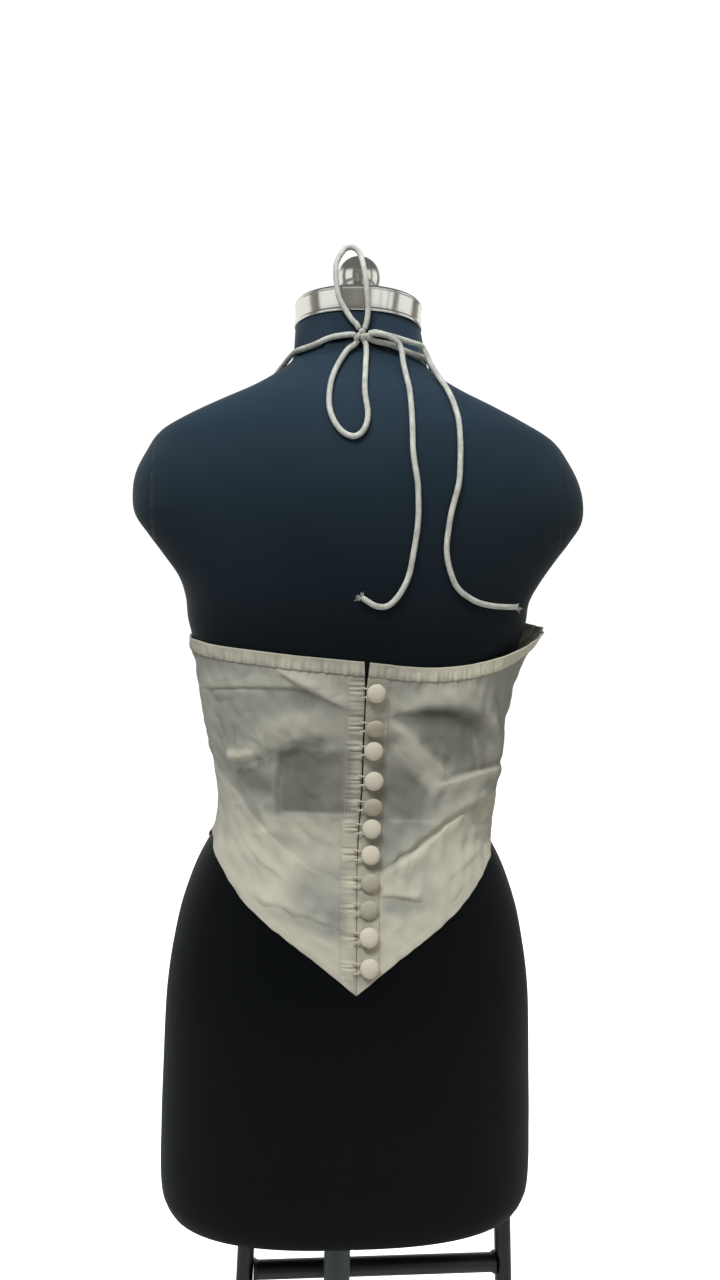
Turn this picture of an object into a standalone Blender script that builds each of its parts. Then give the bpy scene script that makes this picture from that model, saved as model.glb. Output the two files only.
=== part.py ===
# Backless corset top with a corded halter tie, worn by a limbless dress form on its stand.
# Units are metres, +Z is up, and the wearer's back faces -Y. Angles run round the form's upright
# axis in degrees: 0 is the centre back, 90 the wearer's right side seam (+X), 180 the centre front.

import math
from collections import namedtuple

import bmesh
import bpy
from mathutils import Matrix, Vector

# Driving dimensions
MM = 0.001
GAP = 0.3 * MM
CLOTH = 1.2 * MM
STRIP = 1.0 * MM
SNUG = 0.8 * MM
ON_PANEL = CLOTH + 2.4 * GAP

SIDE_SEAM = 88.0
CENTRE_FRONT = 180.0
BAND_WIDTH = 12 * MM
PLACKET_WIDTH = 13 * MM
BUTTON_STAND_WIDTH = 18 * MM
PANEL_COLUMNS = 16
PANEL_ROWS = 17
FRONT_COLUMNS = 15
FRONT_ROWS = 15

BUTTON_DIAMETER = 16 * MM
BUTTON_DOME = 2.6 * MM
BUTTON_RIM = 1.4 * MM
SHANK_HEIGHT = 2.7 * MM
SHANK_DIAMETER = 3.6 * MM
LOOP_DIAMETER = 1.6 * MM

CORD_DIAMETER = 4.8 * MM
KNOT_SIZE = Vector((17, 10.4, 13.6)) * MM
KNOT_ANGLE = -1.0
KNOT_HEIGHT = 1.3912
KNOT_LIFT = 6.0 * MM

ARMHOLE_ACROSS = 181 * MM
NECK_SEAM = 1.385
NECK_TOP = 1.414
CAP_RADIUS = 58.5 * MM
CAP_HEIGHT = 23 * MM
KNOB_RADIUS = 20 * MM
FORM_FOOT = 0.626

POST_ACROSS = -6 * MM
POST_DIAMETER = 24 * MM
UPRIGHT_DIAMETER = 16 * MM
UPRIGHT_LEFT = -88 * MM
UPRIGHT_RIGHT = 155 * MM
UPRIGHT_BACK = 40 * MM
UPRIGHT_SPLAY = 2.0
CROSSBAR_HEIGHT = 0.528
CROSSBAR_DIAMETER = 17 * MM
FLANGE_RADIUS = 62 * MM
FLANGE_HEIGHT = 8 * MM
RUNNER_LENGTH = 0.440
RUNNER_WIDTH = 26 * MM
RUNNER_HEIGHT = 20 * MM

# Half width, back and front depth of the form in millimetres, how square each section is, and how
# far its middle stands to the wearer's right
Section = namedtuple("Section", "height half_width back front squareness shift")
FORM_SECTIONS = [
    Section(0.626, 157.0, 101.0, 104.0, 2.6, 0.0),
    Section(0.645, 165.0, 105.0, 107.0, 2.6, 0.0),
    Section(0.700, 166.3, 109.0, 108.0, 2.5, 0.0),
    Section(0.745, 165.6, 113.0, 108.0, 2.4, 0.0),
    Section(0.808, 163.8, 116.0, 106.0, 2.4, 0.0),
    Section(0.836, 161.5, 115.0, 104.0, 2.4, 0.0),
    Section(0.863, 157.5, 111.0, 101.0, 2.4, 0.0),
    Section(0.891, 151.8, 105.0, 97.0, 2.4, 0.0),
    Section(0.918, 143.2, 97.0, 93.0, 2.4, 0.0),
    Section(0.934, 136.5, 91.5, 91.0, 2.4, 0.0),
    Section(0.948, 129.0, 88.0, 89.5, 2.4, 0.0),
    Section(0.958, 122.5, 86.0, 89.0, 2.4, 0.0),
    Section(0.972, 119.0, 84.5, 88.6, 2.4, 0.0),
    Section(0.990, 118.0, 84.0, 89.0, 2.4, 0.0),
    Section(1.015, 121.0, 85.0, 91.0, 2.4, 0.0),
    Section(1.043, 128.0, 88.0, 94.0, 2.4, 0.0),
    Section(1.084, 136.5, 94.0, 98.0, 2.4, 0.0),
    Section(1.112, 143.0, 98.0, 99.5, 2.4, 1.5),
    Section(1.130, 148.5, 100.0, 100.0, 2.4, 3.0),
    Section(1.148, 153.7, 102.0, 99.0, 2.35, 3.6),
    Section(1.167, 156.5, 104.0, 97.0, 2.3, 4.0),
    Section(1.185, 165.0, 105.0, 94.0, 2.2, 6.0),
    Section(1.204, 178.7, 106.0, 91.0, 2.1, 6.0),
    Section(1.222, 192.5, 106.5, 88.0, 2.05, 6.0),
    Section(1.240, 204.5, 106.5, 85.0, 2.0, 5.5),
    Section(1.259, 206.5, 106.0, 82.0, 2.0, 5.0),
    Section(1.277, 203.0, 103.5, 78.0, 2.0, 4.0),
    Section(1.295, 194.0, 99.5, 74.0, 2.0, 3.5),
    Section(1.314, 180.5, 93.5, 70.0, 2.0, 2.5),
    Section(1.328, 157.5, 88.0, 67.0, 2.0, 1.5),
    Section(1.341, 131.0, 82.0, 64.0, 2.0, 1.0),
    Section(1.355, 100.5, 73.5, 60.5, 2.0, 0.5),
    Section(1.366, 81.0, 67.0, 58.0, 2.0, 0.0),
    Section(1.373, 70.5, 63.5, 57.2, 2.0, 0.0),
    Section(1.383, 60.5, 59.3, 56.6, 2.0, 0.0),
    Section(1.397, 58.3, 57.5, 56.2, 2.0, 0.0),
    Section(1.416, 57.5, 57.0, 56.0, 2.0, 0.0),
]
FORM_COLUMNS = 32
FORM_ROW = 24 * MM
BUST_FOOT = 1.040
BUST_ANGLE = 144.0
BUST_HEIGHT = 1.125
BUST_RISE = 15 * MM
BUST_SPREAD = 24.0
BUST_TALL = 54 * MM
BUST_EASE = 2.2 * MM

# Heights of the garment's edges, from the centre back to the side seam
BackEdge = namedtuple("BackEdge", "angle hem top_left top_right")
BACK_EDGES = [
    BackEdge(0, 0.8435, 1.1121, 1.1116),
    BackEdge(15, 0.8668, 1.1142, 1.1088),
    BackEdge(30, 0.8872, 1.1165, 1.1080),
    BackEdge(45, 0.9085, 1.1198, 1.1108),
    BackEdge(60, 0.9340, 1.1234, 1.1190),
    BackEdge(75, 0.9535, 1.1283, 1.1330),
    BackEdge(90, 0.9575, 1.1320, 1.1450),
]

# Heights of the garment's edges, from the side seam over the halter point to the centre front
FrontEdge = namedtuple("FrontEdge", "angle hem top_left top_right")
FRONT_EDGES = [
    FrontEdge(88, 0.9572, 1.1318, 1.1440),
    FrontEdge(104, 0.9430, 1.1380, 1.1490),
    FrontEdge(120, 0.9230, 1.1600, 1.1620),
    FrontEdge(133, 0.9070, 1.2000, 1.2000),
    FrontEdge(141, 0.8970, 1.2330, 1.2330),
    FrontEdge(145, 0.8920, 1.2400, 1.2400),
    FrontEdge(149, 0.8870, 1.2360, 1.2360),
    FrontEdge(158, 0.8780, 1.2050, 1.2050),
    FrontEdge(168, 0.8700, 1.1750, 1.1750),
    FrontEdge(180, 0.8640, 1.1620, 1.1620),
]
HALTER_HEIGHT = 1.2400

# Where the two backs meet, and how wide the opening between them gapes
Opening = namedtuple("Opening", "height across gape")
OPENING = [
    Opening(0.842, -1.2 * MM, 0.6 * MM),
    Opening(0.906, -0.9 * MM, 0.8 * MM),
    Opening(0.939, -0.4 * MM, 0.8 * MM),
    Opening(0.966, 0.4 * MM, 1.3 * MM),
    Opening(1.002, 2.5 * MM, 1.5 * MM),
    Opening(1.047, 3.4 * MM, 1.6 * MM),
    Opening(1.086, 4.0 * MM, 1.8 * MM),
    Opening(1.112, 4.7 * MM, 4.4 * MM),
]

# How far the cloth stands off the form at each side seam, in millimetres
SideEase = namedtuple("SideEase", "height left right")
SIDE_EASE = [
    SideEase(0.952, 0.3, 1.0),
    SideEase(0.975, 0.5, 9.2),
    SideEase(1.010, 1.0, 12.0),
    SideEase(1.035, 1.2, 10.2),
    SideEase(1.056, 1.2, 6.8),
    SideEase(1.080, 0.8, 7.2),
    SideEase(1.100, 0.4, 7.4),
    SideEase(1.120, 0.3, 9.5),
    SideEase(1.150, 0.3, 20.0),
]
SIDE_EASE_FROM = 38.0
SIDE_EASE_FULL = 80.0
SIDE_EASE_FADES = 100.0
SIDE_EASE_ENDS = 138.0
HOLLOW_EASE = 3.2 * MM
HOLLOW_HEIGHT = 0.990
HOLLOW_TALL = 58 * MM
HOLLOW_ANGLE = 58.0

# Straight stretches of the largest folds: positive rises are ridges, negative ones troughs
Fold = namedtuple("Fold", "angle height to_angle to_height rise spread")
FOLDS = [
    Fold(-40, 1.104, -24, 1.091, 2.0 * MM, 8 * MM),
    Fold(-24, 1.091, -9, 1.074, 2.2 * MM, 8 * MM),
    Fold(-70, 1.089, -40, 1.089, -1.0 * MM, 8 * MM),
    Fold(-62, 1.080, -34, 1.072, 1.8 * MM, 10 * MM),
    Fold(-66, 1.017, -36, 1.040, 2.2 * MM, 10 * MM),
    Fold(-58, 1.008, -24, 1.012, -1.6 * MM, 11 * MM),
    Fold(-38, 0.990, -12, 0.978, 1.6 * MM, 9 * MM),
    Fold(-66, 1.004, -51, 0.977, 1.6 * MM, 8 * MM),
    Fold(-51, 0.977, -16, 0.933, 1.4 * MM, 8 * MM),
    Fold(-40, 0.909, -12, 0.892, 1.3 * MM, 8 * MM),
    Fold(11, 1.066, 31, 1.073, -1.4 * MM, 7 * MM),
    Fold(31, 1.073, 58, 1.070, -1.5 * MM, 8 * MM),
    Fold(58, 1.070, 66, 1.038, -1.4 * MM, 7 * MM),
    Fold(28, 1.088, 58, 1.088, 1.6 * MM, 9 * MM),
    Fold(14, 1.060, 26, 1.037, 2.6 * MM, 9 * MM),
    Fold(26, 1.037, 56, 1.012, 2.2 * MM, 10 * MM),
    Fold(28, 1.012, 52, 0.998, -1.4 * MM, 9 * MM),
    Fold(15, 0.943, 42, 0.972, 2.0 * MM, 8 * MM),
    Fold(42, 0.972, 70, 0.999, 2.0 * MM, 9 * MM),
    Fold(12, 0.915, 34, 0.909, -1.0 * MM, 8 * MM),
    Fold(-132, 1.100, -112, 1.050, 1.6 * MM, 10 * MM),
    Fold(-150, 1.020, -118, 0.985, 1.5 * MM, 10 * MM),
    Fold(128, 1.095, 108, 1.060, 1.6 * MM, 10 * MM),
    Fold(152, 0.985, 122, 1.010, 1.5 * MM, 10 * MM),
]

Button = namedtuple("Button", "height across")
BUTTONS = [
    Button(1.0870, 12.4 * MM),
    Button(1.0587, 12.5 * MM),
    Button(1.0387, 11.5 * MM),
    Button(1.0136, 12.0 * MM),
    Button(0.9927, 11.6 * MM),
    Button(0.9737, 11.0 * MM),
    Button(0.9520, 10.4 * MM),
    Button(0.9302, 10.0 * MM),
    Button(0.9100, 8.6 * MM),
    Button(0.8883, 8.6 * MM),
    Button(0.8649, 9.0 * MM),
]

# Routes of the halter cord's stretches: lift is the centre's distance from the form in millimetres
Turn = namedtuple("Turn", "angle height lift")
CORD_ROUTES = {
    "cord_neck_left": [
        Turn(-145, 1.2435, 3.8),
        Turn(-140, 1.268, 3.6),
        Turn(-133, 1.296, 3.4),
        Turn(-125, 1.322, 3.4),
        Turn(-116, 1.346, 3.8),
        Turn(-106, 1.3625, 4.0),
        Turn(-94, 1.374, 3.8),
        Turn(-80, 1.3815, 3.4),
        Turn(-66, 1.3845, 3.2),
        Turn(-54, 1.384, 3.6),
        Turn(-42, 1.3855, 3.4),
        Turn(-27, 1.3902, 3.4),
        Turn(-11, 1.3920, 3.6),
    ],
    "cord_neck_right": [
        Turn(145, 1.2435, 3.8),
        Turn(140, 1.268, 3.6),
        Turn(133, 1.296, 3.4),
        Turn(125, 1.322, 3.4),
        Turn(116, 1.346, 3.8),
        Turn(106, 1.364, 4.4),
        Turn(93, 1.375, 4.6),
        Turn(78, 1.379, 4.4),
        Turn(62, 1.3795, 4.2),
        Turn(48, 1.3795, 4.0),
        Turn(36, 1.3815, 3.4),
        Turn(22, 1.3850, 3.4),
        Turn(9.5, 1.3862, 3.6),
    ],
    "cord_loop_up": [
        Turn(-5.5, 1.4010, 4.8),
        Turn(-10, 1.4060, 4.6),
        Turn(-19, 1.4220, 4.4),
        Turn(-22, 1.4350, 4.6),
        Turn(-24, 1.4480, 2.0),
        Turn(-25, 1.4600, -4.2),
        Turn(-20, 1.4715, -10.6),
        Turn(-12, 1.4740, -13.2),
        Turn(-4, 1.4690, -11.6),
        Turn(-0.5, 1.4580, -5.6),
        Turn(1, 1.4450, 2.2),
        Turn(2.4, 1.4300, 4.6),
        Turn(3.6, 1.4120, 4.4),
        Turn(2.2, 1.4012, 4.8),
    ],
    "cord_loop_down": [
        Turn(-6.8, 1.3815, 4.0),
        Turn(-13, 1.3745, 3.6),
        Turn(-19, 1.3550, 3.4),
        Turn(-19.8, 1.3327, 3.2),
        Turn(-18.1, 1.3146, 3.2),
        Turn(-13.4, 1.3007, 3.2),
        Turn(-7.4, 1.2957, 3.2),
        Turn(-2.4, 1.3020, 3.2),
        Turn(0.0, 1.3163, 3.2),
        Turn(-0.6, 1.3380, 3.2),
        Turn(0.8, 1.3576, 3.4),
        Turn(2.2, 1.3720, 3.6),
        Turn(2.2, 1.3812, 4.0),
    ],
    "cord_tail_a": [
        Turn(8.2, 1.3910, 9.6),
        Turn(18.0, 1.3895, 10.4),
        Turn(25.5, 1.3835, 10.4),
        Turn(28.0, 1.3740, 9.0),
        Turn(27.2, 1.3620, 6.0),
        Turn(25.6, 1.3480, 4.0),
        Turn(23.4, 1.3280, 3.2),
        Turn(21.6, 1.3129, 3.2),
        Turn(19.5, 1.2866, 3.2),
        Turn(20.0, 1.2533, 3.2),
        Turn(19.8, 1.2289, 3.2),
        Turn(17.7, 1.1961, 3.2),
        Turn(15.1, 1.1731, 3.2),
        Turn(10.2, 1.1599, 3.2),
        Turn(4.2, 1.1580, 3.2),
        Turn(-3.0, 1.1651, 3.2),
    ],
    "cord_tail_b": [
        Turn(9.8, 1.3950, 3.6),
        Turn(20.5, 1.3935, 3.6),
        Turn(31.0, 1.3920, 4.8),
        Turn(39.2, 1.3883, 9.8),
        Turn(45.6, 1.3844, 12.8),
        Turn(50.0, 1.3758, 11.4),
        Turn(51.0, 1.3650, 6.8),
        Turn(48.5, 1.3509, 3.8),
        Turn(45.2, 1.3356, 3.2),
        Turn(40.0, 1.2981, 3.2),
        Turn(36.5, 1.2635, 3.2),
        Turn(32.5, 1.2300, 3.2),
        Turn(31.8, 1.2013, 3.2),
        Turn(36.0, 1.1777, 3.2),
        Turn(44.1, 1.1651, 3.2),
        Turn(52.6, 1.1607, 3.2),
        Turn(63.9, 1.1608, 3.2),
    ],
}
LOOSE_SPACING = 18 * MM
BEND_SPACING = 12 * MM

for left_over in list(bpy.data.objects):
    bpy.data.objects.remove(left_over, do_unlink=True)
garment = bpy.data.collections.new("backless_corset_top")
bpy.context.scene.collection.children.link(garment)


def finished(name, mesh, colour, roughness, metallic=0.0):
    """Puts the mesh or curve in the collection, with a material of its own."""
    piece = bpy.data.objects.new(name, mesh)
    garment.objects.link(piece)
    material = bpy.data.materials.new(name)
    material.use_nodes = True
    shader = material.node_tree.nodes["Principled BSDF"]
    shader.inputs["Base Color"].default_value = (*colour, 1)
    shader.inputs["Roughness"].default_value = roughness
    shader.inputs["Metallic"].default_value = metallic
    if not mesh.materials:
        mesh.materials.append(material)
    return piece


def mesh_from(name, shape, smooth_below=40):
    mesh = bpy.data.meshes.new(name)
    shape.to_mesh(mesh)
    shape.free()
    mesh.shade_smooth()
    mesh.set_sharp_from_angle(angle=math.radians(smooth_below))
    return mesh


def smooth_value(rows, place, column):
    """The named column at a place along the first column, on a smooth curve through the rows."""
    places = [row[0] for row in rows]
    values = [getattr(row, column) for row in rows]
    place = min(max(place, places[0]), places[-1])
    i = 0
    while i < len(rows) - 2 and place > places[i + 1]:
        i += 1

    def slope(k):
        before = max(k - 1, 0)
        after = min(k + 1, len(rows) - 1)
        return (values[after] - values[before]) / (places[after] - places[before])

    step = places[i + 1] - places[i]
    t = (place - places[i]) / step
    start = (2 * t**3 - 3 * t**2 + 1) * values[i] + (t**3 - 2 * t**2 + t) * step * slope(i)
    end = (3 * t**2 - 2 * t**3) * values[i + 1] + (t**3 - t**2) * step * slope(i + 1)
    return start + end


def ramp(value, start, full):
    """0 at start, 1 at full, easing in and out."""
    t = min(max((value - start) / (full - start), 0), 1)
    return t * t * (3 - 2 * t)


def bell(distance, spread):
    return math.exp(-((distance / spread) ** 2))


# The dress form's surface: superellipse sections, with a soft bust
def form_radius(angle, height):
    turn = math.radians(angle)
    depth = "back" if math.cos(turn) > 0 else "front"
    across = smooth_value(FORM_SECTIONS, height, "half_width") * MM
    deep = smooth_value(FORM_SECTIONS, height, depth) * MM
    power = smooth_value(FORM_SECTIONS, height, "squareness")
    sides = abs(math.sin(turn) / across) ** power
    ends = abs(math.cos(turn) / deep) ** power
    return (sides + ends) ** (-1 / power) + BUST_RISE * bust(angle, height)


def bust(angle, height):
    """How much of the bust's full rise there is at a place."""
    return bell(abs(angle) - BUST_ANGLE, BUST_SPREAD) * bell(height - BUST_HEIGHT, BUST_TALL)


def around(angle, radius, height):
    turn = math.radians(angle)
    shift = smooth_value(FORM_SECTIONS, height, "shift") * MM
    return Vector((shift + radius * math.sin(turn), -radius * math.cos(turn), height))


def off_form(angle, height, lift):
    """A point at this distance from the form, square to its surface."""
    place = around(angle, form_radius(angle, height), height)
    step = 1.5
    rise = 3 * MM
    beside = around(angle + step, form_radius(angle + step, height), height)
    above = around(angle, form_radius(angle, height + rise), height + rise)
    below = around(angle, form_radius(angle, height - rise), height - rise)
    return place + (beside - place).cross(above - below).normalized() * lift


def form_ring(height):
    step = 360 / FORM_COLUMNS
    angles = [step * i - 180 for i in range(FORM_COLUMNS)]
    return [around(angle, form_radius(angle, height), height) for angle in angles]


def loft(rings):
    """A closed loft through rings of as many points each, with flat ends."""
    shape = bmesh.new()
    loops = [[shape.verts.new(point) for point in ring] for ring in rings]
    for low, high in zip(loops, loops[1:]):
        for i in range(len(low)):
            j = (i + 1) % len(low)
            shape.faces.new((low[i], low[j], high[j], high[i]))
    shape.faces.new(list(reversed(loops[0])))
    shape.faces.new(loops[-1])
    return shape


def keep_side(shape, across, direction):
    """Cuts the shape at a plane across X, keeps the side against direction, and closes the cut."""
    everything = list(shape.verts) + list(shape.edges) + list(shape.faces)
    bmesh.ops.bisect_plane(
        shape,
        geom=everything,
        plane_co=(across, 0, 0),
        plane_no=(direction, 0, 0),
        clear_outer=True,
    )
    open_edges = [edge for edge in shape.edges if edge.is_boundary]
    bmesh.ops.holes_fill(shape, edges=open_edges, sides=0)


FORM_BLACK = (0.020, 0.024, 0.029)
FORM_ROUGHNESS = 0.85
body_heights = []
for low, high in zip(FORM_SECTIONS, FORM_SECTIONS[1:]):
    if high.height <= NECK_SEAM:
        body_heights.append(low.height)
        if high.height - low.height > FORM_ROW and BUST_FOOT < low.height < HALTER_HEIGHT:
            body_heights.append((low.height + high.height) / 2)
body_heights.append(NECK_SEAM - GAP)

torso = loft([form_ring(height) for height in body_heights])
keep_side(torso, ARMHOLE_ACROSS, 1)
keep_side(torso, -ARMHOLE_ACROSS, -1)
finished("form_torso", mesh_from("form_torso", torso), FORM_BLACK, FORM_ROUGHNESS)

for side_name, side in (("left", -1), ("right", 1)):
    shoulder = loft([form_ring(height) for height in body_heights])
    keep_side(shoulder, side * (ARMHOLE_ACROSS + GAP), -side)
    node = "form_shoulder_cap_" + side_name
    finished(node, mesh_from(node, shoulder), FORM_BLACK, FORM_ROUGHNESS)

neck_heights = (NECK_SEAM, 1.391, 1.400, NECK_TOP)
neck = loft([form_ring(height) for height in neck_heights])
finished("form_neck", mesh_from("form_neck", neck), FORM_BLACK, FORM_ROUGHNESS)


# The metal cap on the neck and its knob, turned round the form's axis
def turned(name, profile, steps, colour, roughness, metallic):
    """A solid of revolution about Z: the profile is (radius, height) from the top down."""
    mesh = bpy.data.meshes.new(name)
    points = [(radius, 0, height) for radius, height in profile]
    mesh.from_pydata(points, [(i, i + 1) for i in range(len(points) - 1)], [])
    piece = finished(name, mesh, colour, roughness, metallic)
    screw = piece.modifiers.new("Screw", "SCREW")
    screw.steps = steps
    screw.render_steps = steps
    screw.use_merge_vertices = True
    screw.merge_threshold = 0.0001
    screw.use_smooth_shade = True
    return piece


CHROME = (0.62, 0.62, 0.60)
cap_foot = NECK_TOP + GAP
cap_top = cap_foot + CAP_HEIGHT
cap_profile = [
    (0, cap_top + 2.6 * MM),
    (24 * MM, cap_top + 2.2 * MM),
    (CAP_RADIUS - 8 * MM, cap_top + 1.0 * MM),
    (CAP_RADIUS - 2 * MM, cap_top - 0.6 * MM),
    (CAP_RADIUS, cap_top - 2.6 * MM),
    (CAP_RADIUS, cap_foot + 1.0 * MM),
    (CAP_RADIUS - 1.0 * MM, cap_foot),
    (0, cap_foot),
]
turned("neck_cap", cap_profile, 30, CHROME, 0.18, 1.0)

knob_foot = cap_top + 2.6 * MM + GAP
knob_centre = knob_foot + 3 * MM + KNOB_RADIUS * 0.94
knob_profile = [(0, knob_centre + KNOB_RADIUS)]
for i in range(1, 8):
    lean = math.radians(20 * i)
    knob_profile.append((KNOB_RADIUS * math.sin(lean), knob_centre + KNOB_RADIUS * math.cos(lean)))
knob_profile += [(9 * MM, knob_foot + 3 * MM), (11 * MM, knob_foot), (0, knob_foot)]
turned("neck_knob", knob_profile, 18, CHROME, 0.18, 1.0)


# The stand: a flange under the form, a grey post, and a black frame on two floor runners
def rod(name, start, end, diameter, colour, roughness, metallic=0.0):
    curve = bpy.data.curves.new(name, "CURVE")
    curve.dimensions = "3D"
    curve.bevel_depth = diameter / 2
    curve.bevel_resolution = 4
    curve.use_fill_caps = True
    line = curve.splines.new("POLY")
    line.points.add(1)
    line.points[0].co = (*start, 1)
    line.points[1].co = (*end, 1)
    return finished(name, curve, colour, roughness, metallic)


def bevelled_box(name, size, centre, bevel, colour, roughness):
    shape = bmesh.new()
    bmesh.ops.create_cube(shape, size=1, matrix=Matrix.Diagonal((*size, 1)))
    mesh = mesh_from(name, shape, 30)
    piece = finished(name, mesh, colour, roughness)
    piece.location = centre
    edge = piece.modifiers.new("Bevel", "BEVEL")
    edge.width = bevel
    edge.segments = 2
    return piece


STAND_BLACK = (0.012, 0.013, 0.014)
POST_GREY = (0.10, 0.11, 0.115)
flange_foot = FORM_FOOT - GAP - FLANGE_HEIGHT
flange_profile = [
    (0, FORM_FOOT - GAP),
    (FLANGE_RADIUS, FORM_FOOT - GAP),
    (FLANGE_RADIUS, flange_foot + 2 * MM),
    (FLANGE_RADIUS - 2 * MM, flange_foot),
    (0, flange_foot),
]
turned("stand_flange", flange_profile, 32, STAND_BLACK, 0.5, 0.0)

post_foot = RUNNER_HEIGHT + GAP
post_start = (POST_ACROSS, 0, post_foot)
post_end = (POST_ACROSS, 0, flange_foot - GAP)
rod("stand_post", post_start, post_end, POST_DIAMETER, POST_GREY, 0.35, 0.6)

runner_across = {}
bar_ends = {}
rail_ends = {}
rail_height = flange_foot - GAP - UPRIGHT_DIAMETER / 2
for side_name, side, top_across in (("left", -1, UPRIGHT_LEFT), ("right", 1, UPRIGHT_RIGHT)):
    foot = RUNNER_HEIGHT + GAP
    upright_top = rail_height + UPRIGHT_DIAMETER / 2 + 2 * MM
    splay = math.tan(math.radians(UPRIGHT_SPLAY)) * side
    foot_across = top_across + (upright_top - foot) * splay
    start = (foot_across, UPRIGHT_BACK, foot)
    end = (top_across, UPRIGHT_BACK, upright_top)
    rod("stand_upright_" + side_name, start, end, UPRIGHT_DIAMETER, STAND_BLACK, 0.45)
    clear = UPRIGHT_DIAMETER / 2 + GAP
    bar_ends[side] = top_across + (upright_top - CROSSBAR_HEIGHT) * splay - side * clear
    rail_ends[side] = top_across + (upright_top - rail_height) * splay - side * clear
    runner_across[side] = foot_across
    bevelled_box(
        "stand_runner_" + side_name,
        (RUNNER_WIDTH, RUNNER_LENGTH, RUNNER_HEIGHT),
        (foot_across, 0, RUNNER_HEIGHT / 2),
        3 * MM,
        STAND_BLACK,
        0.5,
    )

bar_left = (bar_ends[-1] + 0.5 * MM, UPRIGHT_BACK, CROSSBAR_HEIGHT)
bar_right = (bar_ends[1] - 0.5 * MM, UPRIGHT_BACK, CROSSBAR_HEIGHT)
rod("stand_crossbar", bar_left, bar_right, CROSSBAR_DIAMETER, STAND_BLACK, 0.45)
rail_left = (rail_ends[-1] + 0.5 * MM, UPRIGHT_BACK, rail_height)
rail_right = (rail_ends[1] - 0.5 * MM, UPRIGHT_BACK, rail_height)
rod("stand_top_rail", rail_left, rail_right, UPRIGHT_DIAMETER, STAND_BLACK, 0.45)

inner_left = runner_across[-1] + RUNNER_WIDTH / 2 + GAP
inner_right = runner_across[1] - RUNNER_WIDTH / 2 - GAP
bevelled_box(
    "stand_floor_bar",
    (inner_right - inner_left, 34 * MM, RUNNER_HEIGHT),
    ((inner_left + inner_right) / 2, 0, RUNNER_HEIGHT / 2),
    3 * MM,
    STAND_BLACK,
    0.5,
)


# The cloth's inner face: the form, the ease in the panels, and the largest folds
def ease(angle, height):
    side = "left" if angle < 0 else "right"
    turned_by = abs(angle)
    fullness = ramp(turned_by, SIDE_EASE_FROM, SIDE_EASE_FULL)
    fullness *= 1 - ramp(turned_by, SIDE_EASE_FADES, SIDE_EASE_ENDS)
    at_side = smooth_value(SIDE_EASE, height, side) * MM * fullness
    in_hollow = HOLLOW_EASE * bell(turned_by, HOLLOW_ANGLE) * bell(height - HOLLOW_HEIGHT, HOLLOW_TALL)
    under_bust = HOLLOW_EASE * bell(turned_by - CENTRE_FRONT, HOLLOW_ANGLE)
    under_bust *= bell(height - HOLLOW_HEIGHT, HOLLOW_TALL)
    return SNUG + at_side + in_hollow + under_bust + BUST_EASE * bust(angle, height)


def fold_rise(fold, place):
    """How much one fold lifts the cloth at a place given as (distance round, height)."""
    radius = form_radius(fold.angle, fold.height)
    start = Vector((math.radians(fold.angle) * radius, fold.height))
    end = Vector((math.radians(fold.to_angle) * radius, fold.to_height))
    along = end - start
    share = min(max((place - start).dot(along) / along.length_squared, 0), 1)
    return fold.rise * bell((place - start - along * share).length, fold.spread)


def cloth_lift(angle, height):
    place = Vector((math.radians(angle) * form_radius(angle, height), height))
    lift = ease(angle, height)
    for fold in FOLDS:
        if fold.angle * angle > 0:
            lift += fold_rise(fold, place)
    return max(lift, SNUG)


def cloth_point(angle, height):
    return around(angle, form_radius(angle, height) + cloth_lift(angle, height), height)


def angle_at(across, height):
    """The angle of a place near the centre back, from how far it is to the wearer's right."""
    reach = form_radius(0, height) + cloth_lift(0, height)
    return math.degrees(math.asin((across - around(0, reach, height).x) / reach))


# Grids of points on the cloth's inner face, from the lower edge up and from the seam's start on
def grid_heights(low, high, rows):
    """Even rows from the lower edge to the band, and one more at the upper edge."""
    under_band = high - BAND_WIDTH
    heights = [low + (under_band - low) * i / rows for i in range(rows + 1)]
    return heights + [high]


def back_grid(side):
    strip = BUTTON_STAND_WIDTH if side > 0 else PLACKET_WIDTH
    top = "top_right" if side > 0 else "top_left"
    strip_turn = math.degrees(strip / form_radius(0, BACK_EDGES[0].hem))
    columns = []
    for i in range(PANEL_COLUMNS + 1):
        share = max(i - 1, 0) / (PANEL_COLUMNS - 1)
        nominal = strip_turn + (SIDE_SEAM - strip_turn) * share if i else 0
        low = smooth_value(BACK_EDGES, nominal, "hem")
        high = smooth_value(BACK_EDGES, nominal, top)
        column = []
        for height in grid_heights(low, high, PANEL_ROWS):
            middle = smooth_value(OPENING, height, "across")
            gape = smooth_value(OPENING, height, "gape")
            edge = middle + side * gape / 2
            if i == 0:
                angle = angle_at(edge, height)
            else:
                start = angle_at(edge + side * strip, height)
                angle = start + (side * SIDE_SEAM - start) * share
            column.append(cloth_point(angle, height))
        columns.append(column)
    return columns


def front_grid(side):
    seam_gap = math.degrees(2 * GAP / form_radius(SIDE_SEAM, 1.0))
    start = SIDE_SEAM + seam_gap
    end = CENTRE_FRONT - seam_gap
    top = "top_right" if side > 0 else "top_left"
    columns = []
    for i in range(FRONT_COLUMNS + 1):
        angle = start + (end - start) * i / FRONT_COLUMNS
        low = smooth_value(FRONT_EDGES, angle, "hem")
        high = smooth_value(FRONT_EDGES, angle, top)
        heights = grid_heights(low, high, FRONT_ROWS)
        columns.append([cloth_point(side * angle, height) for height in heights])
    return columns


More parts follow.
